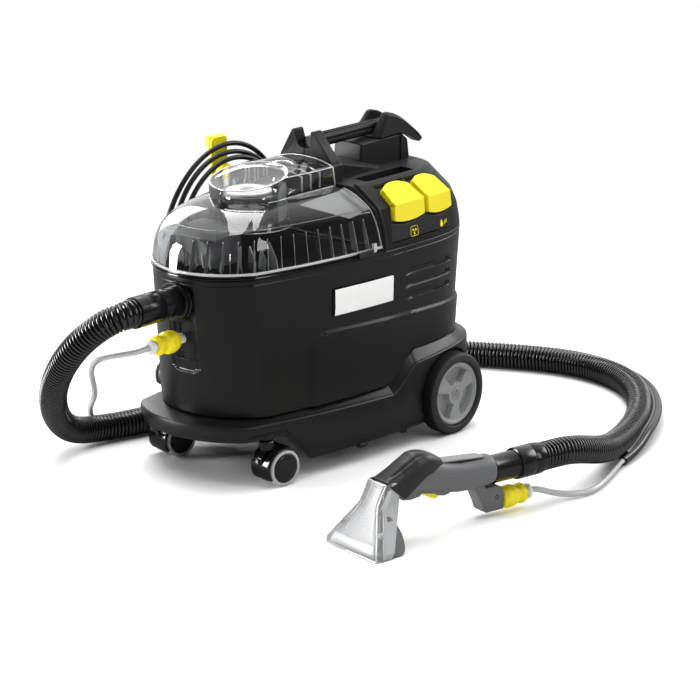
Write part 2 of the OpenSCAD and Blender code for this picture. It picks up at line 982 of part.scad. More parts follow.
cord_r = 3.6;
coil_turns = 3;
coil_end = 262;

// One point of the cord's coil, which hangs from the hook on the far side; turn 0 is innermost
function coil_point(a) =
    let (turn = (coil_end + 360 * coil_turns - a) / 360)
    [-138 - 8.4 * turn, hook_y + 4 + (104 + 7 * turn) * sin(a), 245 + 3.3 * turn + (126 + 4 * turn) * cos(a)];

plug_top = [-161, -92, 117];
cord_line = concat(
    spline([[-124, 176, 170], [-132, 172, 176], coil_point(1194), coil_point(1182)], 3),
    [for (a = [1170:-15:coil_end]) coil_point(a)],
    spline([coil_point(coil_end - 6), plug_top + [0, -6, 62], plug_top + [0, 0, 24], plug_top], 3));

module power_cord() {
    color([0.05, 0.05, 0.05])
        sweep(cord_line, cord_r, 0, 8);
}

// Moulded plug with two round pins at 19 mm centres, at the cord's free end
module mains_plug() {
    color([0.08, 0.08, 0.08])
        translate(plug_top - [0, 0, 43]) {
            cylinder(h = 24, r = 18);
            difference() {
                translate([0, 0, 24])
                    cylinder(h = 18.6, r1 = 14, r2 = 6);
                translate([0, 0, 30])
                    cylinder(h = 20, r = cord_r + 0.2);
            }
            for (s = [-1, 1])
                translate([0, 9.5 * s, -19])
                    cylinder(h = 20, r = 2.4);
        }
}

// Drum with an upturned outer flange; it turns over to let the coil fall off
module cable_hook() {
    color([0.93, 0.82, 0.1])
        translate([0, hook_y, hook_z]) {
            translate([-168, 0, 0])
                along_x(34.6, 9.6);
            translate([-134, 0, 0])
                along_x(5.1, 6);
            translate([-172.5, -16, -12])
                cube([5, 32, 60]);
            translate([-182, -16, 43])
                cube([12, 32, 5]);
            for (y = [-16, 12])
                translate([-182, y, 20])
                    cube([12, 4, 27]);
        }
}

// ---------- suction hose and couplings ----------

cuff_r = 21;

module hose_socket() {
    color([0.1, 0.1, 0.1])
        translate([0, -rim_front - 4, port_z])
            difference() {
                along_y(nose_y + rim_front + 4, socket_r);
                translate([0, -1, 0])
                    along_y(20, 17);
            }
}

cuff_end_y = -320;

module machine_hose_cuff() {
    color([0.04, 0.04, 0.04])
        translate([0, cuff_end_y, port_z])
            difference() {
                union() {
                    along_y(44, cuff_r);
                    along_y(-cuff_end_y - rim_front - 4.5, cuff_r - 1.5);
                    along_y(nose_y - cuff_end_y - 0.3, 16.8);
                }
                translate([0, -1, 0])
                    along_y(200, 14);
                translate([0, -1, 0])
                    along_y(31, hose_od / 2 + 0.2);
            }
}

tool_at = [346, -291, 0];
cuff_back = 309;

module tool_place() {
    translate(tool_at)
        rotate([0, 0, -tool_yaw])
            children();
}
function tool_point(s, z) = tool_at + [s * sin(tool_yaw), s * cos(tool_yaw), z];

hose_z = hose_od / 2 + 0.6;

// Guide points of the hose's centre line, from the machine's cuff round behind to the tool's cuff
hose_guide = concat(
    [for (y = [29, 13, -3, -18]) [0, cuff_end_y + y, port_z]],
    [[-17, -353, 243], [-50, -364, 216], [-84, -362, 182], [-118, -348, 146], [-152, -324, 108],
     [-188, -284, 62], [-210, -236, 26], [-206, -190, hose_z], [-188, -140, hose_z], [-178, -80, hose_z],
     [-176, 0, hose_z], [-177, 90, hose_z], [-178, 180, hose_z], [-172, 270, hose_z], [-140, 350, hose_z],
     [-90, 405, hose_z], [-28, 442, hose_z], [42, 478, hose_z], [108, 498, hose_z], [184, 492, hose_z],
     [250, 452, hose_z], [304, 390, hose_z], [340, 328, hose_z], [364, 270, hose_z], [385, 214, 24],
     [403, 165, 33], [412, 122, 45], [415, 90, 55]],
    [for (s = [45, 29, 13, -3, -17, -32]) tool_point(cuff_back + s, cuff_z)]);

function hose_line(steps) = spline(hose_guide, steps);

module suction_hose() {
    color([0.07, 0.07, 0.07])
        sweep(hose_line(3), hose_od / 2, hose_id / 2, 16);
}

// The strip that holds the spray tube against the hose; it turns underneath where the hose rises to the tool
sleeve_from = 35;
sleeve_to = 85;
function sleeve_line() = let (p = hose_line(3))
    [for (i = [sleeve_from:sleeve_to])
        let (t = tangent(p, i), s = side_of(t), turn = ramp(i, sleeve_to - 5, sleeve_to, 0, 50))
        p[i] + (hose_od / 2 + 6.4) * (cos(turn) * s - sin(turn) * cross(t, s))];

module hose_sleeve() {
    color([0.05, 0.05, 0.05])
        sweep(sleeve_line(), 6, 4.3, 10);
}

spray_front = [0, -rim_front - 50, coupling_z];
tool_spray_back = 292.5;

module spray_tube() {
    held = sleeve_line();
    last = held[len(held) - 1];
    onward = unit(last - held[len(held) - 2]);
    inward = unit(held[1] - held[0]);
    tail = tool_point(tool_spray_back + 0.7, 20);
    back = tool_point(1, 0) - tool_at;
    color([0.86, 0.88, 0.88])
        sweep(concat(
            spline([spray_front + [0, 8, 0], spray_front - [0, 6, 0], spray_front - [0, 28, 1],
                [-22, -334, 194], [-56, -326, 182], [-96, -303, 160], [-134, -268, 128], [-164, -232, 97],
                [-192, -206, 71], [-219, -191, 49], [-228, -180, 28], held[0] - 18 * inward,
                held[0] - 8 * inward], 4),
            held,
            spline([last + 8 * onward, last + 24 * onward + [4, 0, 1], [440, 112, 8], [446, 76, 6], [432, 48, 6],
                tail + 34 * back + [2, 0, -10], tail + 13 * back, tail], 4)), tube_od / 2, tube_od / 2 - 1.6, 8);
}

// A tube connector's fixed core and the collar that slides back to release it
module spray_core(length) {
    difference() {
        union() {
            along_y(length, 7);
            along_y(6, 10);
        }
        translate([0, -1, 0])
            along_y(length + 2, 2.5);
        translate([0, -1, 0])
            along_y(12, tube_od / 2 + 0.2);
    }
}

module spray_collar() {
    rotate([-90, 0, 0])
        rotate_extrude()
            polygon([[7 + running, 0], [11, 0], [13.5, 3], [13.5, 8], [12, 11], [12, 15], [15, 20], [15, 32],
                [13, 38], [9, 40], [7 + running, 40]]);
}

module machine_spray_core() {
    color([0.85, 0.85, 0.83])
        translate([0, spray_front[1] - 0.5, coupling_z])
            spray_core(72);
}

module machine_spray_collar() {
    color([0.93, 0.82, 0.1])
        translate([0, -rim_front - 40, coupling_z])
            spray_collar();
}

// ---------- hand tool (drawn along +y from the nozzle's mouth, then turned and placed) ----------

module tool_hose_cuff() {
    color([0.05, 0.05, 0.05])
    tool_place()
        translate([0, 190, cuff_z])
            difference() {
                union() {
                    translate([0, 34, 0])
                        along_y(cuff_back - 224, 18.5);
                    translate([0, 76, 0])
                        along_y(cuff_back - 266, 21);
                    along_y(40, 15.9);
                }
                translate([0, -1, 0])
                    along_y(80, 13.5);
                translate([0, cuff_back - 190 - 40, 0])
                    along_y(60, hose_od / 2 + 0.2);
            }
}

neck_y = 58;
neck_z = 76;
grip_r = 20;
trigger_at = [92, 66];
valve_z = 57.5;

// The grip and hump's outer shape, grown by t
module grip_form(t) {
    hull() {
        translate([0, 104, 82])
            sphere(r = grip_r + t, $fn = hull_fn);
        translate([0, 168, 65])
            along_y(54, grip_r + t);
    }
}

// Flat funnel from the neck down to the mouth: t insets it, and it reaches from y0 at the mouth
module funnel(t, top_y, low_y, deep, low_z) {
    hull() {
        translate([-18 + t, top_y, neck_z - 17 + t])
            cube([36 - 2 * t, deep, 26 - 2 * t]);
        translate([-mouth_w / 2 + t, low_y, low_z])
            cube([mouth_w - 2 * t, deep, 8]);
    }
}

module tool_body() {
    color([0.36, 0.37, 0.38])
    tool_place()
        difference() {
            union() {
                funnel(0, neck_y - 7, 13, 12, 0.4);
                // rounded housing behind the mouth that carries the spray jet
                intersection() {
                    rotate([90, 0, 90])
                        translate([0, 0, -50])
                            linear_extrude(100)
                                polygon([[16, 3], [42, 0.5], [48, 5], [52, 14], [52, 24], [49, 35], [43, 46], [36, 46]]);
                    translate([0, 70, 0])
                        rotate([90, 0, 0])
                            linear_extrude(70)
                                polygon([[-49, 0], [49, 0], [49, 8], [25, 50], [-25, 50], [-49, 8]]);
                }
                // neck up to the hump
                hull() {
                    translate([0, neck_y + 8, neck_z - 6])
                        sphere(r = 19, $fn = hull_fn);
                    translate([0, 104, 82])
                        sphere(r = grip_r, $fn = hull_fn);
                }
                grip_form(0);
                // bracket for the spray connector
                rotate([90, 0, 90])
                    translate([0, 0, -10.5])
                        linear_extrude(21)
                            polygon([[190, 58], [207, 14], [212, 9], [241, 9], [241, 30], [234, 41],
                                [209, 42.5], [207, 58]]);
            }
            // suction channel
            translate([0, 186, cuff_z])
                along_y(60, 15.9 + running);
            hull() {
                translate([0, 100, 85])
                    sphere(r = 11, $fn = hull_fn);
                translate([0, 150, 69])
                    along_y(40, 11);
            }
            hull() {
                translate([0, 100, 85])
                    sphere(r = 11, $fn = hull_fn);
                translate([0, neck_y + 2, neck_z + 2])
                    sphere(r = 10, $fn = hull_fn);
            }
            // trigger slot, its pin, the valve's seat, and the bores for the spray parts
            rotate([90, 0, 90])
                translate([0, 0, -7.5])
                    linear_extrude(15)
                        polygon([[86, 30], [86, 70.6], [98, 70.6], [143, 60], [143, 30]]);
            translate([-12.3, trigger_at[0], trigger_at[1]])
                along_x(24.6, 2 + running);
            translate([0, 138, valve_z])
                along_y(45, 4 + gap);
            translate([0, 211, 20])
                along_y(40, 7 + gap);
            translate([0, 40, -1])
                cylinder(h = 12, r = 6 + gap);
        }
}

module tool_cover() {
    color([0.14, 0.14, 0.15])
    tool_place()
        difference() {
            hull() {
                translate([-17, neck_y - 16, neck_z + 8])
                    cube([34, 10, 3]);
                translate([0, 98, 92])
                    sphere(r = 21, $fn = hull_fn);
                translate([0, 126, 88])
                    sphere(r = 15, $fn = hull_fn);
            }
            // it sits on the neck and the grip
            hull() {
                translate([0, neck_y + 8, neck_z - 6])
                    sphere(r = 19 + gap, $fn = hull_fn);
                translate([0, 104, 82])
                    sphere(r = grip_r + gap, $fn = hull_fn);
            }
            grip_form(gap);
            translate([-30, 30, 30])
                cube([60, 120, neck_z - 20]);
        }
}

// Clear front of the nozzle; its lower edge is the suction lip
module nozzle_window() {
    color([0.7, 0.72, 0.74, 0.5])
    tool_place()
        difference() {
            funnel(0, neck_y - 17, 0, 10, 0.4);
            funnel(2.4, neck_y - 14, 2.6, 30, -2);
            for (z = [0.4, -2])
                funnel(-2, neck_y - 7.4, 12.6, 30, z);
        }
}

module spray_jet() {
    color([0.93, 0.82, 0.1])
    tool_place()
        translate([0, 40, 1])
            difference() {
                union() {
                    cylinder(h = 9.5, r = 6);
                    translate([0, 0, -0.5])
                        cylinder(h = 1, r = 4);
                }
                translate([0, 0, -1])
                    cylinder(h = 9, r = 1.2);
                translate([-5, -0.6, -1])
                    cube([10, 1.2, 2]);
            }
}

valve_y = 150;

module spray_valve() {
    color([0.5, 0.5, 0.52])
    tool_place()
        translate([0, valve_y, valve_z])
            difference() {
                along_y(32, 4);
                translate([0, -1, 0])
                    along_y(18, 1.5 + running);
                translate([0, 10, 0])
                    along_y(30, 1);
            }
}

module valve_stem() {
    color("silver")
    tool_place()
        translate([0, 0, valve_z]) {
            translate([0, valve_y - 8, 0])
                along_y(18, 1.5);
            translate([0, valve_y - 10.6, 0])
                along_y(2.6, 3.4);
        }
}

// Return spring between the stem's head and the valve
module valve_spring() {
    color("silver")
    tool_place()
        translate([0, 0, valve_z])
            sweep([for (a = [0:40:1440]) [2.6 * cos(a), valve_y - 7.3 + 6.4 * a / 1440, 2.6 * sin(a)]], 0.4, 0, 6);
}

module trigger() {
    color([0.93, 0.82, 0.1])
    tool_place()
        difference() {
            union() {
                translate([-6.5, trigger_at[0], trigger_at[1]])
                    along_x(13, 4);
                rotate([90, 0, 90])
                    translate([0, 0, -6.5])
                        linear_extrude(13)
                            polygon([[89, 63.2], [104, 58], [127, 45.5], [131, 44.5], [135, 46.5], [137, 50],
                                [136.5, 53], [118, 59.5], [95, 68.6]]);
            }
            translate([-30, trigger_at[0], trigger_at[1]])
                along_x(60, 2 + running);
        }
}

module trigger_pin() {
    color("silver")
    tool_place()
        translate([-12, trigger_at[0], trigger_at[1]])
            along_x(24, 2);
}

module tool_spray_core() {
    color([0.85, 0.85, 0.83])
    tool_place()
        translate([0, tool_spray_back, 20])
            rotate([0, 0, 180])
                spray_core(80);
}

module tool_spray_collar() {
    color([0.93, 0.82, 0.1])
    tool_place()
        translate([0, tool_spray_back - 10.5, 20])
            rotate([0, 0, 180])
                spray_collar();
}

chassis();
rear_axle();
axle_clips();
wheel_right();
wheel_left();
tyre_right();
tyre_left();
caster_fork_right();
caster_fork_left();
caster_wheels_right();
caster_wheels_left();
caster_treads_right();
caster_treads_left();
caster_axle_right();
caster_axle_left();
body_shell();
fresh_water_tank();
water_filter();
dirty_water_tank();
lid_seal();
clear_lid();
inlet_deflector();
float_cage();
filter_sleeve();
float_ball();
motor_cover();
carry_handle();
handle_screws();
switch_panel();
suction_switch();
spray_switch();
vacuum_motor();
turbine_fan();
motor_gasket();
pump();
pump_eccentric();
pump_hoses();
badge_plate();
power_cord();
mains_plug();
cable_hook();
hose_socket();
machine_hose_cuff();
suction_hose();
hose_sleeve();
spray_tube();
machine_spray_core();
machine_spray_collar();
tool_hose_cuff();
tool_body();
tool_cover();
nozzle_window();
spray_jet();
spray_valve();
valve_stem();
valve_spring();
trigger();
trigger_pin();
tool_spray_core();
tool_spray_collar();
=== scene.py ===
import math
import bpy
import bmesh
from mathutils import Vector, Matrix


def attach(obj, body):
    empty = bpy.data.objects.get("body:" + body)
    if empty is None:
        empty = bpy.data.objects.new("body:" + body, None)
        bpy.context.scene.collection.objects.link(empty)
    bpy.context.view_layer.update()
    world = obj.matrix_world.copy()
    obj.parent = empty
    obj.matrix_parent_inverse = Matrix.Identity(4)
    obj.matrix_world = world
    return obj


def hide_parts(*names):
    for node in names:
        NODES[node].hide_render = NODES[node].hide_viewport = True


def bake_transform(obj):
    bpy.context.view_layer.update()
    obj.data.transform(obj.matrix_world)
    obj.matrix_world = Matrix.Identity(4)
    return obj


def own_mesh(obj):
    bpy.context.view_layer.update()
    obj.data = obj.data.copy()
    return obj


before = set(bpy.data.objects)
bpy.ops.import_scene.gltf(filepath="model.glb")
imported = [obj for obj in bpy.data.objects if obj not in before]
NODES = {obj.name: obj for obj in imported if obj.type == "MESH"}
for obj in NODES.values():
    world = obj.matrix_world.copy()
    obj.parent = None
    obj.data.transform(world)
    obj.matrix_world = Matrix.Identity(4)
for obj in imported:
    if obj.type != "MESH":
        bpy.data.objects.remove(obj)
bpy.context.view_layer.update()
MM = 0.001


# ---------------------------------------------------------------- materials

def links(tree, joins):
    """Joins sockets, each given as (node, output, node, input)."""
    for a, output, b, socket in joins:
        tree.links.new(a.outputs[output], b.inputs[socket])


def node(tree, kind, **values):
    """A shader node; each value sets the property of that name, or else the input."""
    n = tree.nodes.new(kind)
    for key, value in values.items():
        if hasattr(n, key):
            setattr(n, key, value)
        else:
            n.inputs[key.replace("_", " ")].default_value = value
    return n


def blank(name):
    """A new material, its node tree and its main shader."""
    m = bpy.data.materials.new(name)
    m.use_nodes = True
    return m, m.node_tree, m.node_tree.nodes["Principled BSDF"]


def material(name, color, rough=0.4, grain=900, bump=0.08, mottle=0.12, spec=0.5, coat=0.0, metal=0.0,
             edge_highlight=0.0, blur=0.0, sheen=0.0):
    """Moulded or worked surface: fine grain, slow colour and gloss variation, soft edges, and a painted
    highlight that lightens sharp outer edges.
    """
    m, t, b = blank(name)
    for key, value in (("Metallic", metal), ("Specular IOR Level", spec), ("Coat Weight", coat),
                       ("Coat Roughness", 0.08), ("Sheen Weight", sheen)):
        b.inputs[key].default_value = value
    pos = node(t, "ShaderNodeNewGeometry")
    fine = node(t, "ShaderNodeTexNoise", Scale=grain, Detail=3.0)
    slow = node(t, "ShaderNodeTexNoise", Scale=25, Detail=4.0)
    top = node(t, "ShaderNodeMixRGB", blend_type="MULTIPLY", Fac=mottle, Color1=(*color, 1))
    gloss = node(t, "ShaderNodeMapRange", To_Min=max(0.02, rough - 0.06), To_Max=rough + 0.08)
    skin = node(t, "ShaderNodeBump", Strength=bump, Distance=0.0004)
    links(t, [(pos, "Position", fine, "Vector"), (pos, "Position", slow, "Vector"),
        (slow, "Color", top, "Color2"), (slow, "Fac", gloss, "Value"), (gloss, "Result", b, "Roughness"),
        (fine, "Fac", skin, "Height"), (skin, "Normal", b, "Normal")])
    if blur:
        soft = node(t, "ShaderNodeBevel", samples=4, Radius=blur)
        links(t, [(soft, "Normal", skin, "Normal")])
    # painted highlight: sharply convex places (high pointiness) are mixed towards a lighter colour
    if edge_highlight:
        edge = node(t, "ShaderNodeMapRange", From_Min=0.52, From_Max=0.62, To_Max=edge_highlight)
        lit_edge = node(t, "ShaderNodeMixRGB", Color2=(*[min(1, c * 1.6 + 0.05) for c in color], 1))
        links(t, [(pos, "Pointiness", edge, "Value"), (edge, "Result", lit_edge, "Fac"),
            (top, "Color", lit_edge, "Color1")])
        top = lit_edge
    links(t, [(top, "Color", b, "Base Color")])
    return m


def clear(name, tint, strength, rough, haze_and_painted_light):
    """Thin clear moulding: see-through face on, mirror-like at a glancing angle, with milky white mixed in:
    real milkiness on the shell, nozzle, tube and frosted lip, a painted highlight on the edge material and a
    painted reflection on the inner panels and the far-side sheet.
    """
    m, t, b = blank(name)
    t.nodes.remove(b)
    pos = node(t, "ShaderNodeNewGeometry")
    wave = node(t, "ShaderNodeTexNoise", Scale=60.0, Detail=2.0)
    skin = node(t, "ShaderNodeBump", Strength=0.12, Distance=0.0006)
    through = node(t, "ShaderNodeBsdfTransparent", Color=(*tint, 1))
    milky = node(t, "ShaderNodeBsdfDiffuse", Color=(0.85, 0.87, 0.88, 1))
    shine = node(t, "ShaderNodeBsdfGlossy", Color=(1, 1, 1, 1), Roughness=rough)
    glance = node(t, "ShaderNodeFresnel", IOR=1.45)
    gain = node(t, "ShaderNodeMath", operation="MULTIPLY", use_clamp=True)
    gain.inputs[1].default_value = strength
    veil = node(t, "ShaderNodeMixShader", Fac=haze_and_painted_light)
    mix = node(t, "ShaderNodeMixShader")
    links(t, [(pos, "Position", wave, "Vector"), (wave, "Fac", skin, "Height"),
        (skin, "Normal", shine, "Normal"), (skin, "Normal", glance, "Normal"), (glance, "Fac", gain, 0),
        (gain, 0, mix, "Fac"), (through, 0, veil, 1), (milky, 0, veil, 2), (veil, 0, mix, 1),
        (shine, 0, mix, 2), (mix, 0, t.nodes["Material Output"], 0)])
    return m


BODY = material("casing_black", (0.0065, 0.0065, 0.0068), 0.31, 1400, 0.08, 0.2, 0.42, blur=0.0006)
BASE = material("chassis_black", (0.0075, 0.0075, 0.0078), 0.33, 1200, 0.10, 0.2, 0.45, edge_highlight=0.12,
    blur=0.001)
COVER = material("cover_black", (0.010, 0.010, 0.0105), 0.40, 1500, 0.12, 0.2, 0.26, edge_highlight=0.12, blur=0.0008)
GRIP = material("grip_black", (0.007, 0.007, 0.0073), 0.42, 1300, 0.16, 0.2, 0.28, edge_highlight=0.15, blur=0.0010)
PANEL = material("panel_dark", (0.026, 0.026, 0.029), 0.30, 1500, 0.06, 0.2, 0.35, blur=0.0006)
# near-black gloss for seals and other black details, also painted shade in the blocks behind the pad
# openings
SEAL_AND_SHADE = material("seal_rubber", (0.003, 0.003, 0.003), 0.12, 500, 0.03, 0.1, 0.5, coat=0.2)
YELLOW = material("yellow_plastic", (0.90, 0.76, 0.010), 0.33, 900, 0.05, 0.05, 0.4, blur=0.0008)
WHITE = material("white_plastic", (0.82, 0.82, 0.80), 0.30, 900, 0.04, 0.05)
BADGE = material("badge_white", (0.88, 0.88, 0.87), 0.25, 700, 0.02, 0.02, 0.3)
RIM = material("rim_silver", (0.27, 0.275, 0.28), 0.36, 1200, 0.05, 0.1, 0.5, coat=0.1, blur=0.0006)
TYRE = material("tyre_rubber", (0.010, 0.010, 0.0105), 0.60, 700, 0.25, 0.3, 0.25)
SIDEWALL = material("sidewall_rubber", (0.030, 0.0305, 0.032), 0.50, 900, 0.15, 0.2, 0.3)
TREAD = material("tread_grey", (0.42, 0.43, 0.44), 0.45, 900, 0.08, 0.08, blur=0.0006)
DISC = material("disc_dark", (0.012, 0.012, 0.015), 0.25, 900, 0.05, 0.15, 0.4, coat=0.1, blur=0.0008)
GLOSS = material("gloss_black", (0.0045, 0.0045, 0.005), 0.14, 900, 0.015, 0.1, 0.45, coat=0.2, blur=0.0006)
HOSE = material("hose_black", (0.0045, 0.0045, 0.005), 0.17, 700, 0.02, 0.15, 0.85, coat=0.3)
CUFF = material("cuff_rubber", (0.0055, 0.0055, 0.006), 0.20, 900, 0.015, 0.15, 0.5, coat=0.1, blur=0.0006)
CORD = material("cord_rubber", (0.006, 0.006, 0.0065), 0.32, 900, 0.08, 0.2, 0.4)
STEEL = material("steel", (0.60, 0.60, 0.61), 0.28, 1500, 0.05, 0.1, metal=1.0)
FILTER = material("filter_steel", (0.36, 0.37, 0.38), 0.08, 2500, 0.04, 0.1, metal=1.0)
MOTOR = material("motor_metal", (0.35, 0.36, 0.38), 0.40, 900, 0.08, 0.2, metal=0.6)
INNER = material("inner_dark", (0.010, 0.010, 0.011), 0.30, 600, 0.05, 0.3, 0.4)
GREY = material("grey_plastic", (0.13, 0.132, 0.136), 0.34, 900, 0.06, 0.1, blur=0.0006)
TOOLGREY = material("tool_grey", (0.125, 0.127, 0.13), 0.42, 1300, 0.12, 0.12, 0.4, edge_highlight=0.1, blur=0.0008)
TOOLDARK = material("tool_dark", (0.022, 0.0225, 0.024), 0.36, 1200, 0.08, 0.15, 0.4, blur=0.0008)
GRIP_PANEL = material("grip_panel_grey", (0.205, 0.208, 0.212), 0.40, 1300, 0.10, 0.1, 0.45, blur=0.0006)
NOZZLE_BACK = material("nozzle_backing", (0.40, 0.405, 0.41), 0.35, 900, 0.05, 0.08, 0.4)
NATURAL = material("natural_plastic", (0.62, 0.64, 0.64), 0.35, 700, 0.05, 0.1, sheen=0.1)
CLEAR = clear("clear_plastic", (0.975, 0.98, 0.98), 1.6, 0.02, 0.003)
# painted highlight: half milky white, so that lid edges, ribs, fins, flange, latches and nozzle edges look
# bright
CLEAR_PAINTED_HIGHLIGHT = clear("clear_edge_painted_highlight", (0.93, 0.95, 0.96), 4.0, 0.04, 0.52)
NOZZLE = clear("nozzle_clear", (0.90, 0.905, 0.91), 0.9, 0.28, 0.10)
LIP_FROST = clear("lip_frost", (0.93, 0.94, 0.95), 1.6, 0.2, 0.42)
# painted reflection: milky white on the slanted inner panels, standing in for the white they reflect
INNER_PAINTED_REFLECTION = clear("clear_inner_painted_reflection", (0.94, 0.95, 0.955), 2.2, 0.06, 0.36)
# painted reflection: milky white on a sheet inside the far side of the nose, standing in for the white seen
# there
FAR_SIDE_PAINTED_REFLECTION = clear("clear_far_side_painted_reflection", (0.96, 0.965, 0.97), 1.2, 0.08, 0.34)
TUBE = clear("tube_clear", (0.80, 0.82, 0.82), 1.6, 0.12, 0.52)


# ---------------------------------------------------------------- mesh tools

def placed(name, data):
    """A new object in the scene."""
    ob = bpy.data.objects.new(name, data)
    bpy.context.scene.collection.objects.link(ob)
    return ob


def add(name, verts, faces, mat, body="machine", hides=None, sharp=32):
    """A mesh from points in millimetres, riding on a body, in place of the CAD node that it hides."""
    me = bpy.data.meshes.new(name)
    me.from_pydata([(x * MM, y * MM, z * MM) for x, y, z in verts], [], faces)
    me.validate()
    bm = bmesh.new()
    bm.from_mesh(me)
    bmesh.ops.remove_doubles(bm, verts=bm.verts, dist=1e-6)
    bmesh.ops.recalc_face_normals(bm, faces=bm.faces)
    bm.to_mesh(me)
    bm.free()
    ob = placed(name, me)
    me.materials.append(mat)
    shade(ob, sharp)
    if body:
        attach(ob, body)
    if hides:
        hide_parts(hides)
    return ob


def shade(ob, sharp=32):
    me = ob.data
    me.polygons.foreach_set("use_smooth", [True] * len(me.polygons))
    me.set_sharp_from_angle(angle=math.radians(sharp))


def bevelled(ob, width, segments=3, angle=35):
    mod = ob.modifiers.new("edge", "BEVEL")
    mod.width = width * MM
    mod.segments = segments
    mod.limit_method = "ANGLE"
    mod.angle_limit = math.radians(angle)
    mod.harden_normals = True
    mod.use_clamp_overlap = True
    return ob


def apply_mods(ob):
    dep = bpy.context.evaluated_depsgraph_get()
    me = bpy.data.meshes.new_from_object(ob.evaluated_get(dep))
    ob.modifiers.clear()
    ob.data = me


def cut(ob, tools, sharp=32):
    """Takes the tools away from ob."""
    for tool in tools:
        mod = ob.modifiers.new("cut", "BOOLEAN")
        mod.operation = "DIFFERENCE"
        mod.solver = "EXACT"
        mod.object = tool
    bpy.context.view_layer.update()
    apply_mods(ob)
    shade(ob, sharp)
    for tool in tools:
        bpy.data.objects.remove(tool)


def strip(rings, closed=True, cap_start=False, cap_end=False):
    """Quads between rings of equal length."""
    n = len(rings[0])
    verts = [p for ring in rings for p in ring]
    faces = []
    for i in range(len(rings) - 1):
        for j in range(n if closed else n - 1):
            k = (j + 1) % n
            faces.append((i * n + j, i * n + k, (i + 1) * n + k, (i + 1) * n + j))
    if cap_start:
        faces.append(tuple(range(n))[::-1])
    if cap_end:
        faces.append(tuple(range((len(rings) - 1) * n, len(rings) * n)))
    return verts, faces


def loft(name, rings, mat, body="machine", hides=None, sharp=32, caps="both", closed=True):
    """A skin over rings of equal length, with its ends capped or open."""
    verts, faces = strip(rings, closed, caps == "both", caps in ("both", "end"))
    return add(name, verts, faces, mat, body, hides, sharp)


def sheet(name, rows, mat, body="machine", hides=None, sharp=30):
    """An open skin over rows of points."""
    return loft(name, rows, mat, body, hides, sharp, "none", False)


def prism(name, outline, place, depth, mat, body="machine", bevel=1.0, hides=None, segments=3):
    """A flat outline pushed through depth; place(u, v, w) puts each point in the object's frame."""
    ob = loft(name, [[place(u, v, w) for u, v in outline] for w in (0, depth)], mat, body, hides)
    return bevelled(ob, bevel, segments) if bevel else ob


def upward(z):
    return lambda u, v, w: (u, v, z + w)


def rearward(y):
    return lambda u, v, w: (u, y + w, v)


def rightward(x):
    return lambda u, v, w: (x + w, u, v)


def block(name, low, high, mat, body="machine", bevel=1.0):
    """A box between two corners."""
    x0, y0, z0 = low
    x1, y1, z1 = high
    return prism(name, [(x0, y0), (x1, y0), (x1, y1), (x0, y1)], upward(z0), z1 - z0, mat, body, bevel)


def turns(count):
    """Angles evenly spaced round a full turn."""
    return [2 * math.pi * k / count for k in range(count)]


def drum(name, center, axis, profile, mat, body="machine", hides=None, sides=64, sharp=30):
    """Revolves (radius, along) points about an axis through center; an end with a radius joins the other."""
    axis = Vector(axis).normalized()
    side = axis.orthogonal().normalized()
    up = axis.cross(side)
    c = Vector(center)
    rings = [[tuple(c + axis * h + (side * math.cos(a) + up * math.sin(a)) * r) for a in turns(sides)]
        for r, h in profile]
    if min(profile[0][0], profile[-1][0]) > 0.01:
        verts, faces = strip(rings + rings[:1], True)
    else:
        verts, faces = strip(rings, True, profile[0][0] > 0.01, profile[-1][0] > 0.01)
    return add(name, verts, faces, mat, body, hides, sharp)


def frames(path):
    """Rotation-minimising frames along a path: (point, tangent, side, up)."""
    pts = [Vector(p) for p in path]
    tang = [(pts[min(i + 1, len(pts) - 1)] - pts[max(i - 1, 0)]).normalized() for i in range(len(pts))]
    side = tang[0].cross(Vector((0, 0, 1)))
    if side.length < 0.1:
        side = tang[0].cross(Vector((1, 0, 0)))
    side.normalize()
    out = []
    for p, t in zip(pts, tang):
        side = (side - t * side.dot(t)).normalized()
        out.append((p, t, side, t.cross(side)))
    return out


def tube(name, path, radius, mat, body="machine", sides=16, hides=None, caps=True, sharp=60):
    """Sweeps a round section; radius is a number or a list, one per point."""
    rings = []
    for i, (p, t, s, u) in enumerate(frames(path)):
        r = radius[i] if isinstance(radius, list) else radius
        rings.append([tuple(p + (s * math.cos(a) + u * math.sin(a)) * r) for a in turns(sides)])
    verts, faces = strip(rings, True, caps, caps)
    return add(name, verts, faces, mat, body, hides, sharp)


def spline(guide, steps):
    """Uniform cubic B-spline, the curve the CAD's hose follows."""
    q = [Vector(p) for p in guide]
    g = [2 * q[0] - q[1]] + q + [2 * q[-1] - q[-2]]
    out = []
    for i in range(len(g) - 3):
        for k in range(steps):
            t = k / steps
            out.append(((1 - t) ** 3 * g[i] + (3 * t ** 3 - 6 * t * t + 4) * g[i + 1]
                + (-3 * t ** 3 + 3 * t * t + 3 * t + 1) * g[i + 2] + t ** 3 * g[i + 3]) / 6)
    return out + [q[-1]]


def respace(path, step):
    """The same path with points a fixed distance apart."""
    pts = [Vector(p) for p in path]
    dist = [0.0]
    for a, b in zip(pts, pts[1:]):
        dist.append(dist[-1] + (b - a).length)
    total, out, i = dist[-1], [], 0
    count = max(2, int(total / step))
    for k in range(count + 1):
        d = total * k / count
        while i < len(pts) - 2 and dist[i + 1] < d:
            i += 1
        span = dist[i + 1] - dist[i]
        out.append(pts[i].lerp(pts[i + 1], (d - dist[i]) / span if span else 0))
    return out


def lerp(a, b, t):
    return a + (b - a) * t


def ramp(x, x0, x1, v0, v1):
    return lerp(v0, v1, max(0.0, min(1.0, (x - x0) / (x1 - x0))))


def through(x, *points):
    """Straight steps through (x, value) points."""
    for (x0, v0), (x1, v1) in zip(points, points[1:]):
        if x < x1:
            break
    return ramp(x, x0, x1, v0, v1)


def ease(t):
    t = max(0.0, min(1.0, t))
    return t * t * (3 - 2 * t)


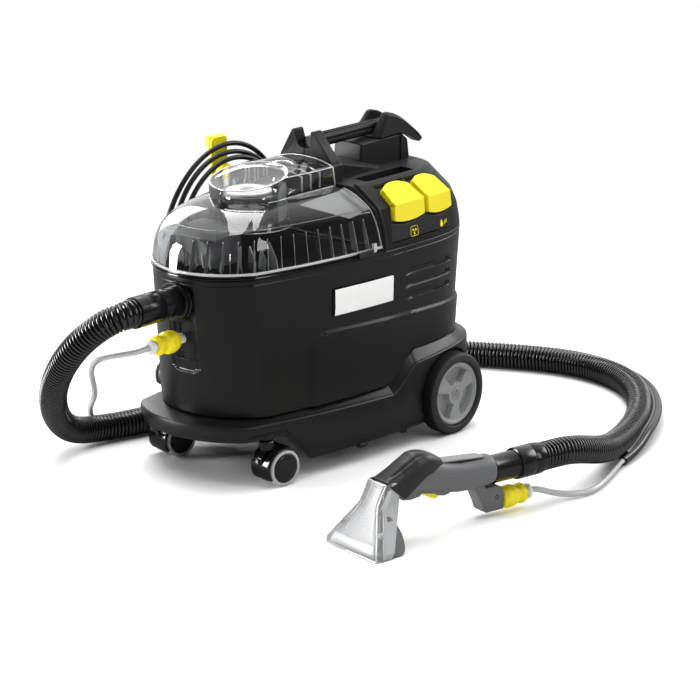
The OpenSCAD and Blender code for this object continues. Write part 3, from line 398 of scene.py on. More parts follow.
# ---------------------------------------------------------------- shapes shared with the CAD, in millimetres

RIM_FRONT, RIM_REAR, HALF_W, RIM_Z, FOOT_Z = 242, 254, 127, 285, 93
AXLE_Y = 168
PORT_Z, COUPLING_Z = 252, 199
SEAM_LEAN = math.radians(8.5)


ARC_STEPS, SIDE_STEPS, REAR_STEPS = 28, 60, 36


def half_outline(front, cx, cy, facet, hw, back, rear, power):
    """Half a plan outline: an arc across the front, a facet, a bowed side and a squared-off round rear."""
    rise = front - cy
    arc_r = (cx * cx + rise * rise) / (2 * rise)
    arc_a = math.asin(cx / arc_r)
    p0, p1, p2 = (cx + facet, -cy + 1.3 * facet), (hw, -60), (hw, back)
    pts = []
    for k in range(ARC_STEPS + 1):
        a = arc_a * k / ARC_STEPS
        pts.append((arc_r * math.sin(a), -front + arc_r * (1 - math.cos(a))))
    for k in range(SIDE_STEPS + 1):
        t = k / SIDE_STEPS
        pts.append(tuple((1 - t) ** 2 * p0[i] + 2 * t * (1 - t) * p1[i] + t * t * p2[i] for i in (0, 1)))
    for k in range(1, REAR_STEPS + 1):
        a = math.pi / 2 * k / REAR_STEPS
        x = hw * max(0.0, math.cos(a)) ** (2 / power)
        pts.append((x, back + (rear - back) * math.sin(a) ** (2 / power)))
    return pts


def mirrored(half):
    return half + [(-x, y) for x, y in half[-2:0:-1]]


def foot_outline(t):
    """The casing's plan at its foot, t mm in."""
    return mirrored(half_outline(RIM_FRONT - 20 - t, 88 - 0.8 * t, 180 - 0.6 * t, 7, HALF_W - 5 - t, 100,
        RIM_REAR - 16 - t, 3.2))


def rim_outline(t):
    """The casing's plan at its rim, t mm in."""
    return mirrored(half_outline(RIM_FRONT - t, 82 - 0.8 * t, 196 - 0.6 * t, 7, HALF_W - t, 100,
        RIM_REAR - t, 3.2))


def body_ring(t, height):
    """A ring on the casing's wall between foot and rim, at a height that depends on y."""
    ring = []
    for (ax, ay), (bx, by) in zip(foot_outline(t), rim_outline(t)):
        z = height(ay)
        s = (z - FOOT_Z) / (RIM_Z - FOOT_Z)
        ring.append((lerp(ax, bx, s), lerp(ay, by, s), z))
    return ring


def foot_at(y):
    """Lower edge of the casing, which steps up over the wheels."""
    return ramp(y, 50, 92, FOOT_Z, FOOT_Z + 42)


def seam_at(z):
    """Where the leaning seam between lid and cover runs at height z."""
    return 31 - (z - RIM_Z) * math.tan(SEAM_LEAN)


# ---------------------------------------------------------------- body shell

def body_relief(x, y, z):
    """How far the side wall stands out (mm) for its moulded panels, recess and air slots."""
    out = 0.0
    if abs(x) > 70 and y > -170:
        left = ramp(z, 175, 198, -101, -72)
        top = ramp(y, -60, 200, 198, 190)
        out += 3.6 * ease(min(y - left, top - z) / 8)
    if y < -150:
        low = 152 + max(0.0, abs(x - 3) - 14) * 0.7
        out -= 3.2 * ease(min(24 - abs(x - 3), z - low, 274 - z) / 4)
    if abs(x) > 90 and 78 < y < 186:
        for k in range(3):
            z0 = 208 + 17.5 * k
            d = min(y - 82, 178 - y, z - z0, z0 + 9 - z)
            out -= 2.2 * ease(d / 1.6)
            deep = min(y - 146, 176 - y, z - z0 - 1.5, z0 + 8.5 - z)
            out -= 4.0 * ease(deep / 1.4)
    return out


def shell_rings(levels, inset, relief):
    """Rings of the casing at levels from 0 at its foot to 1 at its rim."""
    rings = []
    for s in levels:
        ring = body_ring(inset, lambda y: lerp(foot_at(y) + 0.5, RIM_Z, s))
        new = []
        n = len(ring)
        for i, (x, y, z) in enumerate(ring):
            if relief:
                a, b = Vector(ring[i - 1]), Vector(ring[(i + 1) % n])
                nrm = Vector((b.y - a.y, a.x - b.x, 0)).normalized()
                d = body_relief(x, y, z)
                seam = abs(z - 278)
                d -= 1.1 * max(0.0, 1 - seam / 1.2)
                d -= 1.6 * ramp(s, 0, 0.012, 1, 0)
                d -= 1.2 * ramp(s, 0.992, 1.0, 0, 1)
                x, y = x + nrm.x * d, y + nrm.y * d
            new.append((x, y, z))
        rings.append(new)
    return rings


levels = [k / 150 for k in range(151)]
outer = shell_rings(levels, 0, True)
inner = shell_rings([1.0, 0.7, 0.4], 3.2, False)
loft("body_casing", inner[::-1] + outer[::-1], BODY, hides="body_shell", sharp=16)

# ---------------------------------------------------------------- chassis

def chassis_outline(t):
    return mirrored(half_outline(252 - t, 91 - 0.8 * t, 219 - 0.6 * t, 7, 134 - t, 110, 262 - t, 3.4))


def skirt_at(y):
    return ramp(y, -148, -106, 68, 25) if y < 0 else ramp(y, 226, 262, 25, 62)


def edge_at(y):
    if y < 50:
        return ramp(y, -250, 50, 91, 83)
    return ramp(y, 50, 92, 83, 118) + ramp(y, 97, 262, 0, 12)


def deck_at(y):
    return foot_at(y) - 0.5


def chassis_ring(t, height, rise=0, limit=False):
    """The chassis outline t mm in, at a height that depends on y; the limit leaves room for the wheels."""
    ring = []
    for x, y in chassis_outline(t):
        if limit:
            lim = ramp(y, 84, 98, 140, 112)
            x = max(-lim, min(lim, x))
        ring.append((x, y, height(y) + rise))
    return ring


rings = [chassis_ring(14, deck_at, -4, True), chassis_ring(6, skirt_at, 1, True)]
rings += [chassis_ring(t, skirt_at, rise)
    for t, rise in ((4.5, 0), (3.2, 0.4), (2.6, 5.5), (0.3, 8.5), (0, 10))]
rings.append(chassis_ring(0, lambda y: lerp(skirt_at(y) + 10, edge_at(y) - 4, 0.5)))
rings += [chassis_ring(t, edge_at, rise) for t, rise in ((0, -4), (0.5, -1.8), (1.6, -0.4), (3.2, 0))]
rings += [chassis_ring(7, lambda y: lerp(edge_at(y), deck_at(y), 0.35)), chassis_ring(13, deck_at)]
chassis = loft("chassis_tray", rings, BASE, None, sharp=24)
arches = [
    drum("arch_tool", (sx * 116, AXLE_Y, 58), (sx, 0, 0), [(0, 0), (63, 0), (63, 40), (0, 40)], BASE, None)
    for sx in (1, -1)]
cut(chassis, arches, 24)
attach(chassis, "machine")
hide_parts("chassis")
for sx in (1, -1):
    block("skid_rib_%d" % (sx > 0), (sx * 76 - 6, -60, 25), (sx * 76 + 6, 60, 89), BASE, bevel=1.5)
    block("axle_block_%d" % (sx > 0), (sx * 106 - 8, 154, 44), (sx * 106 + 8, 182, 120), BASE, bevel=2)
    drum("swivel_boss_%d" % (sx > 0), (sx * 95, -171, 66), (0, 0, 1),
        [(5.2, 0), (9.2, 0), (10, 1), (10, 23), (5.2, 23)], BASE)
    for y, w in ((-20, 16), (70, 10)):
        block("foot_pad_%d_%d" % (sx > 0, y), (sx * 125 - 4, y, 20.5), (sx * 125 + 4, y + w, 27), BASE,
            bevel=1.2)
for x in (-60, -20, 20, 60):
    block("deck_rib_%d" % (x + 60), (x - 1.5, -226, 70), (x + 1.5, 198, 90), BASE, bevel=0.6)

# ---------------------------------------------------------------- wheels

def wheel_face(sx, body, node_rim, node_tyre, side):
    """Rim with three sunk windows and a hub cap, drawn on a polar grid, and the tyre round it."""
    rings = []
    stops = [0.01, 2, 5, 7.4, 8.2, 9.0, 9.8, 11, 12.5, 14] + [15 + 0.9 * k for k in range(25)] + [38.2,
        39.4, 40.4, 41.2, 42.2, 43.4, 44.4, 44.9]
    count = 144
    for r in stops:
        ring = []
        for a in turns(count):
            h = 24.0 + 1.6 * math.exp(-((r - 12) / 9) ** 2)
            h += 2.4 * ease((r - 38.5) / 3.0) - 1.6 * ease((r - 43.4) / 1.6)
            h += 1.2 * ease((8.8 - r) / 1.0) - 0.9 * math.exp(-((r - 9.2) / 0.5) ** 2)
            spoke = abs(((math.degrees(a) + 30) % 120) - 60)
            width = math.radians(spoke) * r - lerp(5.5, 8.5, ease((r - 14) / 24)) - 0.15 * (r - 15)
            d = min(width, r - 15.5, 38.0 - r)
            h -= 9.0 * ease(d / 3.2)
            ring.append((sx * (119 + h), AXLE_Y + r * math.cos(a), 58 + r * math.sin(a)))
        rings.append(ring)
    for r in (44.8, 6):
        rings.append([(sx * 120, AXLE_Y + r * math.cos(a), 58 + r * math.sin(a)) for a in turns(count)])
    loft("rim_" + side, rings, RIM, body, node_rim, 40)
    tread = [(44.9, 1), (49, 0.2), (53, 0.6), (55.6, 2.2), (57.2, 4.6), (57.9, 7.5)]
    for k in range(6):
        z = 9 + 2.2 * k
        tread += [(58, z), (58, z + 1.5), (57.2, z + 1.7), (57.2, z + 2.0)]
    tread += [(58, 22.6), (57.6, 24.6), (56.6, 26.6)]
    drum("tyre_tread_" + side, (sx * 119, AXLE_Y, 58), (sx, 0, 0), tread, TYRE, body, node_tyre, 120, 28)
    drum("tyre_wall_" + side, (sx * 119, AXLE_Y, 58), (sx, 0, 0), [(56.7, 26.5), (55.4, 28.0), (53.6, 28.9),
        (50, 29.6), (47.6, 29.6), (46.4, 28.8), (46.0, 26.6), (45.2, 26.4), (45.1, 3)], SIDEWALL, body,
        sides=120, sharp=28)


wheel_face(1, "right_wheel", "wheel_right", "tyre_right", "right")
wheel_face(-1, "left_wheel", "wheel_left", "tyre_left", "left")

# ---------------------------------------------------------------- casters

YAW = math.radians(-8)


def caster(sx, side):
    """Swivelling caster: its hood and stem, and a twin wheel on a short axle."""
    cx, cy, body = sx * 95, -171, side + "_caster"

    def at(x, y, z):
        return (cx + x * math.cos(YAW) - y * math.sin(YAW), cy + x * math.sin(YAW) + y * math.cos(YAW), z)
    axis = (math.cos(YAW), math.sin(YAW), 0)
    # hood: a shell round the front and top of the wheels, rounded in at both ends
    rings = []
    spans = [(-19.2, 26.6), (-19.2, 28.2), (-17.5, 28.9), (-10, 29.1), (0, 29.1), (10, 29.1), (17.5, 28.9),
        (19.2, 28.2), (19.2, 26.6)]
    arc = [math.radians(60 + 150 * k / 40) for k in range(41)]
    for w, r in spans + [(w, 26.5) for w, r in spans[::-1]]:
        ring = []
        for a in arc:
            lip = 1 - 0.04 * ease((math.degrees(a) - 195) / 15) - 0.05 * ease((75 - math.degrees(a)) / 15)
            ring.append(at(w, 17 + r * lip * math.cos(a), 25 + r * lip * math.sin(a)))
        rings.append(ring)
    rings.append(rings[0])
    sheet("caster_hood_" + side, rings, GLOSS, body, "caster_fork_" + side, 35)
    c = at(0, 0, 0)
    drum("caster_stem_" + side, (c[0], c[1], 0), (0, 0, 1),
        [(0, 51), (9.4, 51), (10, 52), (10, 62), (9, 63.5), (5, 64), (5, 84), (0, 84)], GLOSS, body,
        sides=48)
    prism("caster_web_" + side, [(-9, 13), (22, 13), (22, 44), (10, 53), (-6, 53), (-13, 40)],
        lambda u, v, w: at(w - 4.5, u, v), 9, GLOSS, body, 1.2)
    hub = at(0, 17, 25)
    for s, tag in ((1, "a"), (-1, "b")):
        ax = (axis[0] * s, axis[1] * s, 0)
        drum("caster_tread_%s_%s" % (side, tag), hub, ax, [(21.0, 7), (23.4, 7), (24.6, 8.2), (25, 10),
            (25, 16), (24.7, 17.6), (24, 18.8), (22.6, 19.4), (21.2, 19.6), (20.4, 19.2), (20.2, 18)],
            TREAD, body + "_wheels", "caster_treads_" + side, 96, 40)
        drum("caster_disc_%s_%s" % (side, tag), hub, ax, [(3.2, 6.2), (19, 6.4), (20.1, 7), (20.1, 17.4),
            (19.6, 18.4), (18.6, 19.0), (17.6, 18.7), (17.0, 19.0), (14, 20.0), (8, 20.9), (0, 21.2)], DISC,
            body + "_wheels", "caster_wheels_" + side, 96, 40)


caster(1, "right")
caster(-1, "left")

# ---------------------------------------------------------------- clear lid

DOME_Y, DOME_R, DOME_TOP, TUNNEL_X, TUNNEL_EDGE = -98, 53, 393, 51, 394


def clip_ring(half, z, ahead, gap, n_side, n_back):
    """The part of a half outline ahead of or behind the leaning seam, closed along it, then mirrored."""
    cut_y = seam_at(z) + gap
    pts = [Vector(p) for p in half]
    side = []
    for a, b in zip(pts, pts[1:]):
        if (a.y - cut_y) * (b.y - cut_y) <= 0 and a.y != b.y:
            cross = a.lerp(b, (cut_y - a.y) / (b.y - a.y))
            if ahead:
                side.append(a)
                side.append(cross)
                break
            side = [cross]
        if ahead:
            side.append(a)
        elif side:
            side.append(b)
    side = respace([(p.x, p.y, 0) for p in side], 1)
    side = [side[min(len(side) - 1, round(k * (len(side) - 1) / n_side))] for k in range(n_side + 1)]
    if ahead:
        x = side[-1].x
        back = [Vector((x * (1 - k / n_back), cut_y, 0)) for k in range(1, n_back + 1)]
        run = side + back
    else:
        x = side[0].x
        run = [Vector((x * k / n_back, cut_y, 0)) for k in range(n_back)] + side
    return [(p.x, p.y, z) for p in run] + [(-p.x, p.y, z) for p in run[-2:0:-1]]


def lid_half(inset, t=0.0):
    """Half of the lid's plan, pulled in by inset (front, side) and by t all round."""
    front, hw = RIM_FRONT - inset[0], HALF_W - inset[1]
    return half_outline(front - t, 0.66 * hw - 0.8 * t, 0.81 * front - 0.6 * t, 7, hw - t, 100, 180, 3.2)


LID_STEPS = [(290.6, (0, 0)), (296, (0.8, 0.8)), (313, (3, 3)), (324, (6.4, 5.2)), (332, (11, 8)),
    (340, (19, 11.5)), (346, (28, 16)), (353, (41, 26)), (359, (56, 36)), (364, (74, 47)), (367, (92, 58))]
lid_rings = [clip_ring(lid_half(s), z, True, -0.5, 90, 12) for z, s in LID_STEPS]

# footprint of dome and tunnel: a round front and straight sides back to the seam, +X half
front_end = math.acos(TUNNEL_X / DOME_R)
front_pts = [(DOME_R * math.cos(a), DOME_Y + DOME_R * math.sin(a))
    for a in [lerp(-math.pi / 2, front_end, k / 60) for k in range(61)]]
tunnel_y0 = front_pts[-1][1]


def foot_loop(z):
    """The closed footprint of dome and tunnel at height z."""
    y1 = seam_at(z) - 0.5
    side = [(TUNNEL_X, lerp(tunnel_y0, y1, k / 30)) for k in range(1, 31)]
    back = [(TUNNEL_X * (1 - k / 12), y1) for k in range(1, 13)]
    half = [(x, y, z) for x, y in front_pts + side + back]
    return half + [(-x, y, z) for x, y, z in half[-2:0:-1]]


lid_rings.append(foot_loop(368.5))
loft("lid_shell", lid_rings, CLEAR, "lid", "clear_lid", 22, "none")


def dome_z(y):
    return DOME_TOP + (y - DOME_Y) * math.tan(math.radians(10))


def wall_top(y):
    """Height of the wall's upper edge round dome and tunnel."""
    if y < tunnel_y0 + 1:
        return min(dome_z(y), TUNNEL_EDGE + 2)
    return TUNNEL_EDGE + 2 - ramp(y, tunnel_y0, -20, 0, 2)


wall = []
for s in (0.0, 0.5, 0.9, 1.0):
    ring = []
    for x, y, z in foot_loop(368.5):
        zz = lerp(368.5, wall_top(y), s)
        if y > -10 and abs(y - (seam_at(368.5) - 0.5)) < 0.2:
            y = seam_at(zz) - 0.5
        ring.append((x, y, zz))
    wall.append(ring)
loft("lid_tunnel_wall", wall, CLEAR, "lid", sharp=24, caps="none")

def lid_edge(name, path, radius, caps=True):
    """A moulded edge of the lid, made bright by a painted highlight in its milky clear material."""
    tube(name, path, radius, CLEAR_PAINTED_HIGHLIGHT, "lid", 8, caps=caps)


# tilted lens on the dome, with its raised rim
ring_pts = [(math.cos(a), math.sin(a)) for a in turns(96)]
rings = []
for r, h in ((52.8, 0.4), (52.0, 1.6), (50.6, 1.8), (49.2, 0.8), (47, 0.0), (30, 0.4), (0.1, 0.6)):
    rings.append([(c * r, DOME_Y + s * r, dome_z(DOME_Y + s * r) + h - 1.4) for c, s in ring_pts])
loft("lid_lens", rings, CLEAR, "lid", sharp=24, caps="end")
lid_edge("lid_lens_rim",
    [(c * 52.0, DOME_Y + s * 52.0, dome_z(DOME_Y + s * 52.0) + 0.3) for c, s in ring_pts + ring_pts[:1]],
    1.0, caps=False)
# the dome's own wall carries on down inside the lid
rings = [[(c * r, DOME_Y + s * r, z) for c, s in ring_pts]
    for r, z in ((51.2, 382), (51.4, 366), (52.6, 345), (54.5, 334), (57.5, 329))]
loft("lid_well", rings, CLEAR, "lid", sharp=24, caps="none")
lid_edge("lid_well_foot", [(c * 57.5, DOME_Y + s * 57.5, 329) for c, s in ring_pts + ring_pts[:1]], 0.9,
    caps=False)
# arched roof of the tunnel
rings = []
for k in range(25):
    u = -1 + 2 * k / 24
    x = TUNNEL_X * u
    crown = 9 * (1 - abs(u) ** 2.4)
    row = []
    start = DOME_Y + math.sqrt(max(0.0, 52.0 ** 2 - x * x))
    for j in range(25):
        s = j / 24
        z = wall_top(lerp(start, 12, s)) + crown * ease(s * 1.6)
        y = lerp(start, seam_at(z) - 0.5, s)
        row.append((x, y, z))
    rings.append(row)
sheet("lid_tunnel_roof", rings, CLEAR, "lid")
arch = [rings[k][-1] for k in range(25)]
lid_edge("lid_arch_edge", [(51, seam_at(368) - 0.9, 368)]
    + [(x, y - 0.4, z - 0.3) for x, y, z in arch[::-1]] + [(-51, seam_at(368) - 0.9, 368)], 1.1)
for sx in (0, 24):
    lid_edge("lid_roof_edge_%d" % sx, [(x * 0.992, y, z + 0.1) for x, y, z in rings[sx]], 0.8)

# moulded edges with a painted highlight: rear frame, crest and bottom flange
rear = [r[90] for r in lid_rings[:-1]]
for sx in (1, -1):
    lid_edge("lid_rear_edge_%d" % (sx > 0), [(sx * (x - 0.8), y - 0.5, z) for x, y, z in rear], 1.1)
    lid_edge("lid_crest_%d" % (sx > 0),
        [(sx * (lid_rings[6][k][0] - 0.5), lid_rings[6][k][1], 345.4) for k in range(0, 91, 3)], 0.7)
    lid_edge("lid_foot_edge_%d" % (sx > 0),
        [(sx * x * 0.998, y, z + 0.2) for x, y, z in foot_loop(368)[40:91]], 0.7)


def around_lid(k, drop, z):
    """A point on the lid's side wall, drop mm in from it."""
    ring = clip_ring(lid_half((ramp(z, 290, 332, 0, 11), ramp(z, 290, 332, 0, 8)), drop), z, True, -0.5, 90,
        12)
    return ring[k]


def rim_band(profile, gap):
    """Rings that follow the lid's foot, from (inset, height) points."""
    return [clip_ring(lid_half((0, 0), inset), z, True, gap, 90, 12) for inset, z in profile]


# clear flange along the lid's foot, bright with a painted highlight
FLANGE = ((0.0, 290.7), (-0.4, 291.2), (-0.4, 293.4), (0.2, 294.2), (2.6, 294.4), (3.2, 292), (3.2, 290.8))
loft("lid_flange", rim_band(FLANGE, -0.6), CLEAR_PAINTED_HIGHLIGHT, "lid", sharp=30, caps="none")

# stiffening ribs inside the side wall, milky white as a painted highlight
for i, k in enumerate(range(6, 90, 6)):
    deep = 9 if i % 3 else 15
    corners = ((0.8, 294), (0.8, 318), (0.8, 335), (deep - 5, 333), (deep - 2, 318), (deep, 294))
    loop = [around_lid(k, drop, z) for drop, z in corners]
    t = (Vector(around_lid(k + 1, 0.8, 294)) - Vector(around_lid(k - 1, 0.8, 294))).normalized() * 0.6
    for sx in (1, -1):
        faces = [[(sx * (x + way * t.x), y + way * t.y, z) for x, y, z in loop] for way in (-1, 1)]
        loft("lid_rib_%d_%d" % (i, sx > 0), faces, CLEAR_PAINTED_HIGHLIGHT, "lid", sharp=20)
# ribs that hold the dome's wall on its rear half, and the tunnel's inner skin, milky white as a painted
# highlight
for i, a in enumerate((22, 40, 58, 122, 140, 158)):
    c, s = math.cos(math.radians(a)), math.sin(math.radians(a))
    loop = [(42, 334), (50.5, 338), (50.5, 380), (46, 380), (42, 372)]
    side = [[(c * r - s * w, DOME_Y + s * r + c * w, z) for r, z in loop] for w in (-0.5, 0.5)]
    loft("lid_dome_rib_%d" % i, side, CLEAR_PAINTED_HIGHLIGHT, "lid", sharp=20)
for i, y in enumerate((-46, -28, -10)):
    loop = [(-49, 370), (-49, 391), (-30, 396), (30, 396), (49, 391), (49, 370), (46.5, 370), (46.5, 389.5),
        (29, 394), (-29, 394), (-46.5, 389.5), (-46.5, 370)]
    prism("lid_tunnel_rib_%d" % i, loop, rearward(y), 1.0, CLEAR_PAINTED_HIGHLIGHT, "lid", 0)
# slanted inner deflecting panels each side of the tunnel, milky white as a painted reflection
for sx in (1, -1):
    grid = []
    for k in range(13):
        s = k / 12
        grid.append([(sx * lerp(57, 98, s), lerp(-62, -6, s), lerp(357, 334, s)),
            (sx * lerp(57, 98, s), lerp(-30, 8, s), lerp(359, 336, s)),
            (sx * lerp(57, 98, s), 22, lerp(362, 338, s))])
    sheet("lid_inner_slope_%d" % (sx > 0), grid, INNER_PAINTED_REFLECTION, "lid")
# milky sheet inside the far side of the nose, a painted reflection
reflection_sheet = []
for ring in lid_rings[1:7]:
    part = ring[-88:-6]
    reflection_sheet.append([(x * 0.975, DOME_Y + (y - DOME_Y) * 0.975, z - 1.5) for x, y, z in part])
sheet("lid_reflection_sheet", reflection_sheet, FAR_SIDE_PAINTED_REFLECTION, "lid")
# short fins that calm the water round the inlet, milky white as a painted highlight
for i in range(18):
    a = math.radians(188 + 9.5 * i)
    c, s = math.cos(a), math.sin(a)
    r0, r1 = 70 + 6 * (i % 3), 96 + 5 * (i % 2)
    cy = -132
    tip = 322 + 6 * math.sin(2.3 * i)
    loop = [(r0, 292), (r1, 292), (r1 - 2, 308), (r0 + 4, tip), (r0, tip - 4)]
    lean = 4 * math.sin(1.7 * i)
    if cy + s * r1 < -205:
        r1 = (-205 - cy) / s
        loop = [(r0, 292), (r1, 292), (r1 - 4, 304), (r0 + 2, 314), (r0, 310)]
    side = [[(c * r - s * (w + lean * (z - 292) / 30), cy + s * r + c * (w + lean * (z - 292) / 30), z)
        for r, z in loop] for w in (-0.7, 0.7)]
    loft("lid_fin_%d" % i, side, CLEAR_PAINTED_HIGHLIGHT, "lid", sharp=20)
# closing tab on the lid's right edge
block("lid_tab", (125.6, -22, 286.6), (129.4, 8, 294.6), GLOSS, "lid", 0.8)
block("lid_tab_clear", (124.8, 8, 289.5), (129.0, 14, 302), CLEAR_PAINTED_HIGHLIGHT, "lid", 0.6)

# inlet box: a flat grey cap with bevelled sides, open towards the cage
box = [[(-36, -203, 294), (36, -203, 294), (36, -153, 294), (-36, -153, 294)],
    [(-36, -203, 330), (36, -203, 330), (36, -153, 336), (-36, -153, 336)],
    [(-31, -196, 337), (31, -196, 337), (33, -153, 338), (-33, -153, 338)]]
bevelled(loft("inlet_cap", box, GREY, "lid", "inlet_deflector", 30, "end"), 1.0)
prism("inlet_brim", [(-46, -172), (46, -172), (50, -140), (34, -131), (-34, -131), (-50, -140)],
    upward(334), 2.2, GREY, "lid", 0.7)

# filter cylinder, its white cap, and the cage's tube and floor
drum("filter_mirror", (0, DOME_Y, 0), (0, 0, 1), [(29.2, 327), (39.4, 327), (40.2, 327.8), (40.2, 329.4),
    (39.6, 330.2), (39.6, 369), (40.0, 370), (39.4, 371.6), (37, 372), (29.2, 372)], FILTER, "lid",
    "filter_sleeve", 120)
drum("cage_cap", (0, DOME_Y, 0), (0, 0, 1), [(12, 371), (28.8, 371), (30.6, 372.6), (31, 373.4),
    (31, 375.2), (30, 376), (26, 376.2), (25, 377.4), (14.4, 377.4), (13.2, 376.2), (12, 376)], WHITE,
    "lid", "float_cage", 96)
drum("cage_tube", (0, DOME_Y, 0), (0, 0, 1),
    [(26.2, 324.5), (28.6, 324.5), (28.8, 325), (28.8, 371), (26.2, 371)], WHITE, "lid")
drum("cage_floor", (0, DOME_Y, 0), (0, 0, 1),
    [(0, 324), (28, 324), (28.4, 324.4), (28.4, 325.8), (0, 326.4)], WHITE, "lid")
# seal band, and the rim of the recovery tank under it
SEAL_BAND = ((1.6, 288.05), (0.7, 288.4), (0.4, 289.2), (0.7, 290.1), (1.6, 290.5), (6.0, 290.5),
    (6.2, 288.05))
TANK_RIM = ((0.9, 285.4), (-0.6, 285.8), (-1.0, 286.6), (-0.6, 287.6), (0.9, 287.85), (9.0, 287.85),
    (9.2, 286), (8.4, 284))
seal = rim_band(SEAL_BAND, -1.6)
loft("seal_band", seal + seal[:1], SEAL_AND_SHADE, "lid", "lid_seal", 40, "none")
loft("tank_rim", rim_band(TANK_RIM, -1.2), SEAL_AND_SHADE, "recovery_tank", sharp=40, caps="none")

# ---------------------------------------------------------------- motor cover, spine and column

def cover_half(inset):
    """Half of the cover's plan, pulled in by inset (rear, side)."""
    rear, hw = RIM_REAR - inset[0], HALF_W - inset[1]
    return half_outline(RIM_FRONT, 0.66 * hw, 0.81 * RIM_FRONT, 7, hw, 100, rear, 3.2)


COVER_STEPS = [(285.3, (1.2, 1.2)), (286.3, (0.2, 0.2)), (296, (1.6, 0.5)), (318, (7, 2)), (332, (14, 5)),
    (342, (20, 7)), (349, (24.5, 15)), (357, (28.5, 25)), (364, (32, 34)), (367.4, (33.6, 38.6)),
    (369.6, (36, 41.5)), (371, (40, 46))]
rings = [clip_ring(cover_half(s), z, False, 0, 110, 12) for z, s in COVER_STEPS]
cover = loft("cover_hood", rings, COVER, hides="motor_cover", sharp=26)
pockets = []
for sx in (1, -1):
    pockets.append(prism("pocket",
        [(sx * 52, 344), (sx * 62, 342), (sx * 75, 364), (sx * 80, 380), (sx * 52, 380)], rearward(54), 100,
        COVER, None, 0))
pockets.append(prism("bay", [(140, 293), (119, 293), (113, 340), (88, 361), (88, 390), (140, 390)],
    rearward(50), 133, COVER, None, 0))
cut(cover, pockets, 26)
bevelled(cover, 1.6, 3, 34)

# rounded band that the lid closes against, following the cover's front edge down each side
band = []
for z, s in COVER_STEPS[1:]:
    ring = clip_ring(cover_half(s), z, False, 0, 110, 12)
    band.append((ring[12][0], seam_at(z), z))
for sx in (1, -1):
    strip_pts = [(sx * (x + 0.6), y + 7, z + (0.8 if z > 345 else 0)) for x, y, z in band]
    tube("cover_band_%d" % (sx > 0), strip_pts, 2.6, COVER, sides=12)

# spine: arched where it meets the lid's tunnel, then sloping down under the grip
spine = []
for y in (seam_at(395) - 0.2, 27, 34, 38, 41, 44, 60, 80, 100, 120, 140, 162):
    t = ramp(y, 41, 162, 0, 1)
    half = lerp(51, 43, ease((y - 36) / 8)) if y < 44 else lerp(43, 34, t)
    edge = lerp(394, 392, ease((y - 36) / 8)) if y < 44 else lerp(392, 362, t)
    crown = 9 if y < 36 else lerp(8, 6, t)
    row = []
    for k in range(33):
        u = -1 + 2 * k / 32
        row.append((half * u, y, edge + crown * (1 - abs(u) ** 3)))
    row += [(half, y, edge - 4), (half, y, 352), (-half, y, 352), (-half, y, edge - 4)]
    spine.append(row)
bevelled(loft("cover_spine", spine, COVER, sharp=24), 0.8, 2, 40)
block("spine_vent", (-5, 34, 398), (5, 43, 404.5), GLOSS, bevel=1.5)

# column under the rear end of the grip, with a rib at its back edge
prism("grip_column", [(98, 356), (104, 407), (190, 408), (203, 398), (207, 372), (236, 360)],
    rightward(-25), 50, COVER, bevel=3.0, segments=4)
prism("column_foot", [(66, 354), (98, 364), (206, 372), (240, 359), (240, 350), (66, 350)], rightward(-33),
    66, COVER, bevel=3.5, segments=4)
for sx in (1, -1):
    block("column_rib_%d" % (sx > 0), (sx * 24 - 1.2, 186, 366),
        (sx * 24 + 2.6 * sx + 1.2 * (sx < 0), 189, 405), COVER, bevel=0.7)
# hook bracket outside the lid's path
block("hook_bracket", (-130, 34, 304), (-117, 60, 369), COVER, bevel=3.0)
block("hook_plate", (-133, 10, 342), (-128.6, 60, 370), COVER, bevel=1.4)

# ---------------------------------------------------------------- carrying handle

def leaning(u, v, w):
    """Cradle frame: u across, v up the lean, w back from the seam."""
    return (u, seam_at(v) + 1.2 + w, v)


for sx in (1, -1):
    prism("cradle_front_%d" % (sx > 0), [(sx * 47, 392), (sx * 46, 399), (sx * 20.5, 436), (sx * 17, 438.6),
        (sx * 14, 437), (sx * 10, 417), (sx * 6, 413), (0, 412.4), (0, 404.2), (sx * 24, 402.5)], leaning,
        18, GRIP, bevel=1.3, hides="carry_handle" if sx > 0 else None)
drum("trough_hole", (0, seam_at(412.6) + 9, 412.6), (0, 0, 1),
    [(5.2, 0), (5.2, 0.9), (3.6, 1.0), (3.4, -2), (0, -2.2)], SEAL_AND_SHADE, sides=40)

bar = []
profile = [(-9, 415), (-9, 423.6), (-7.6, 426), (-5.4, 427.4), (-2, 428), (2, 428), (5.4, 427.4),
    (7.6, 426), (9, 423.6), (9, 421.3), (8.2, 420.6), (8.2, 418.9), (9, 418.2), (9, 415), (7.4, 412),
    (5, 410.4), (-5, 410.4), (-7.4, 412)]
for y in (21, 23, 60, 100, 140, 184):
    lift = ramp(y, 22, 184, -0.4, 0.9)
    bar.append([(x, y, z + lift) for x, z in profile])
bevelled(loft("grip_bar", bar, GRIP, sharp=26), 0.7, 2, 30)
for x in (-3, 3):
    block("bar_rib_%d" % (x > 0), (x - 0.9, 30, 427), (x + 0.9, 160, 429.2), GRIP, bevel=0.5)

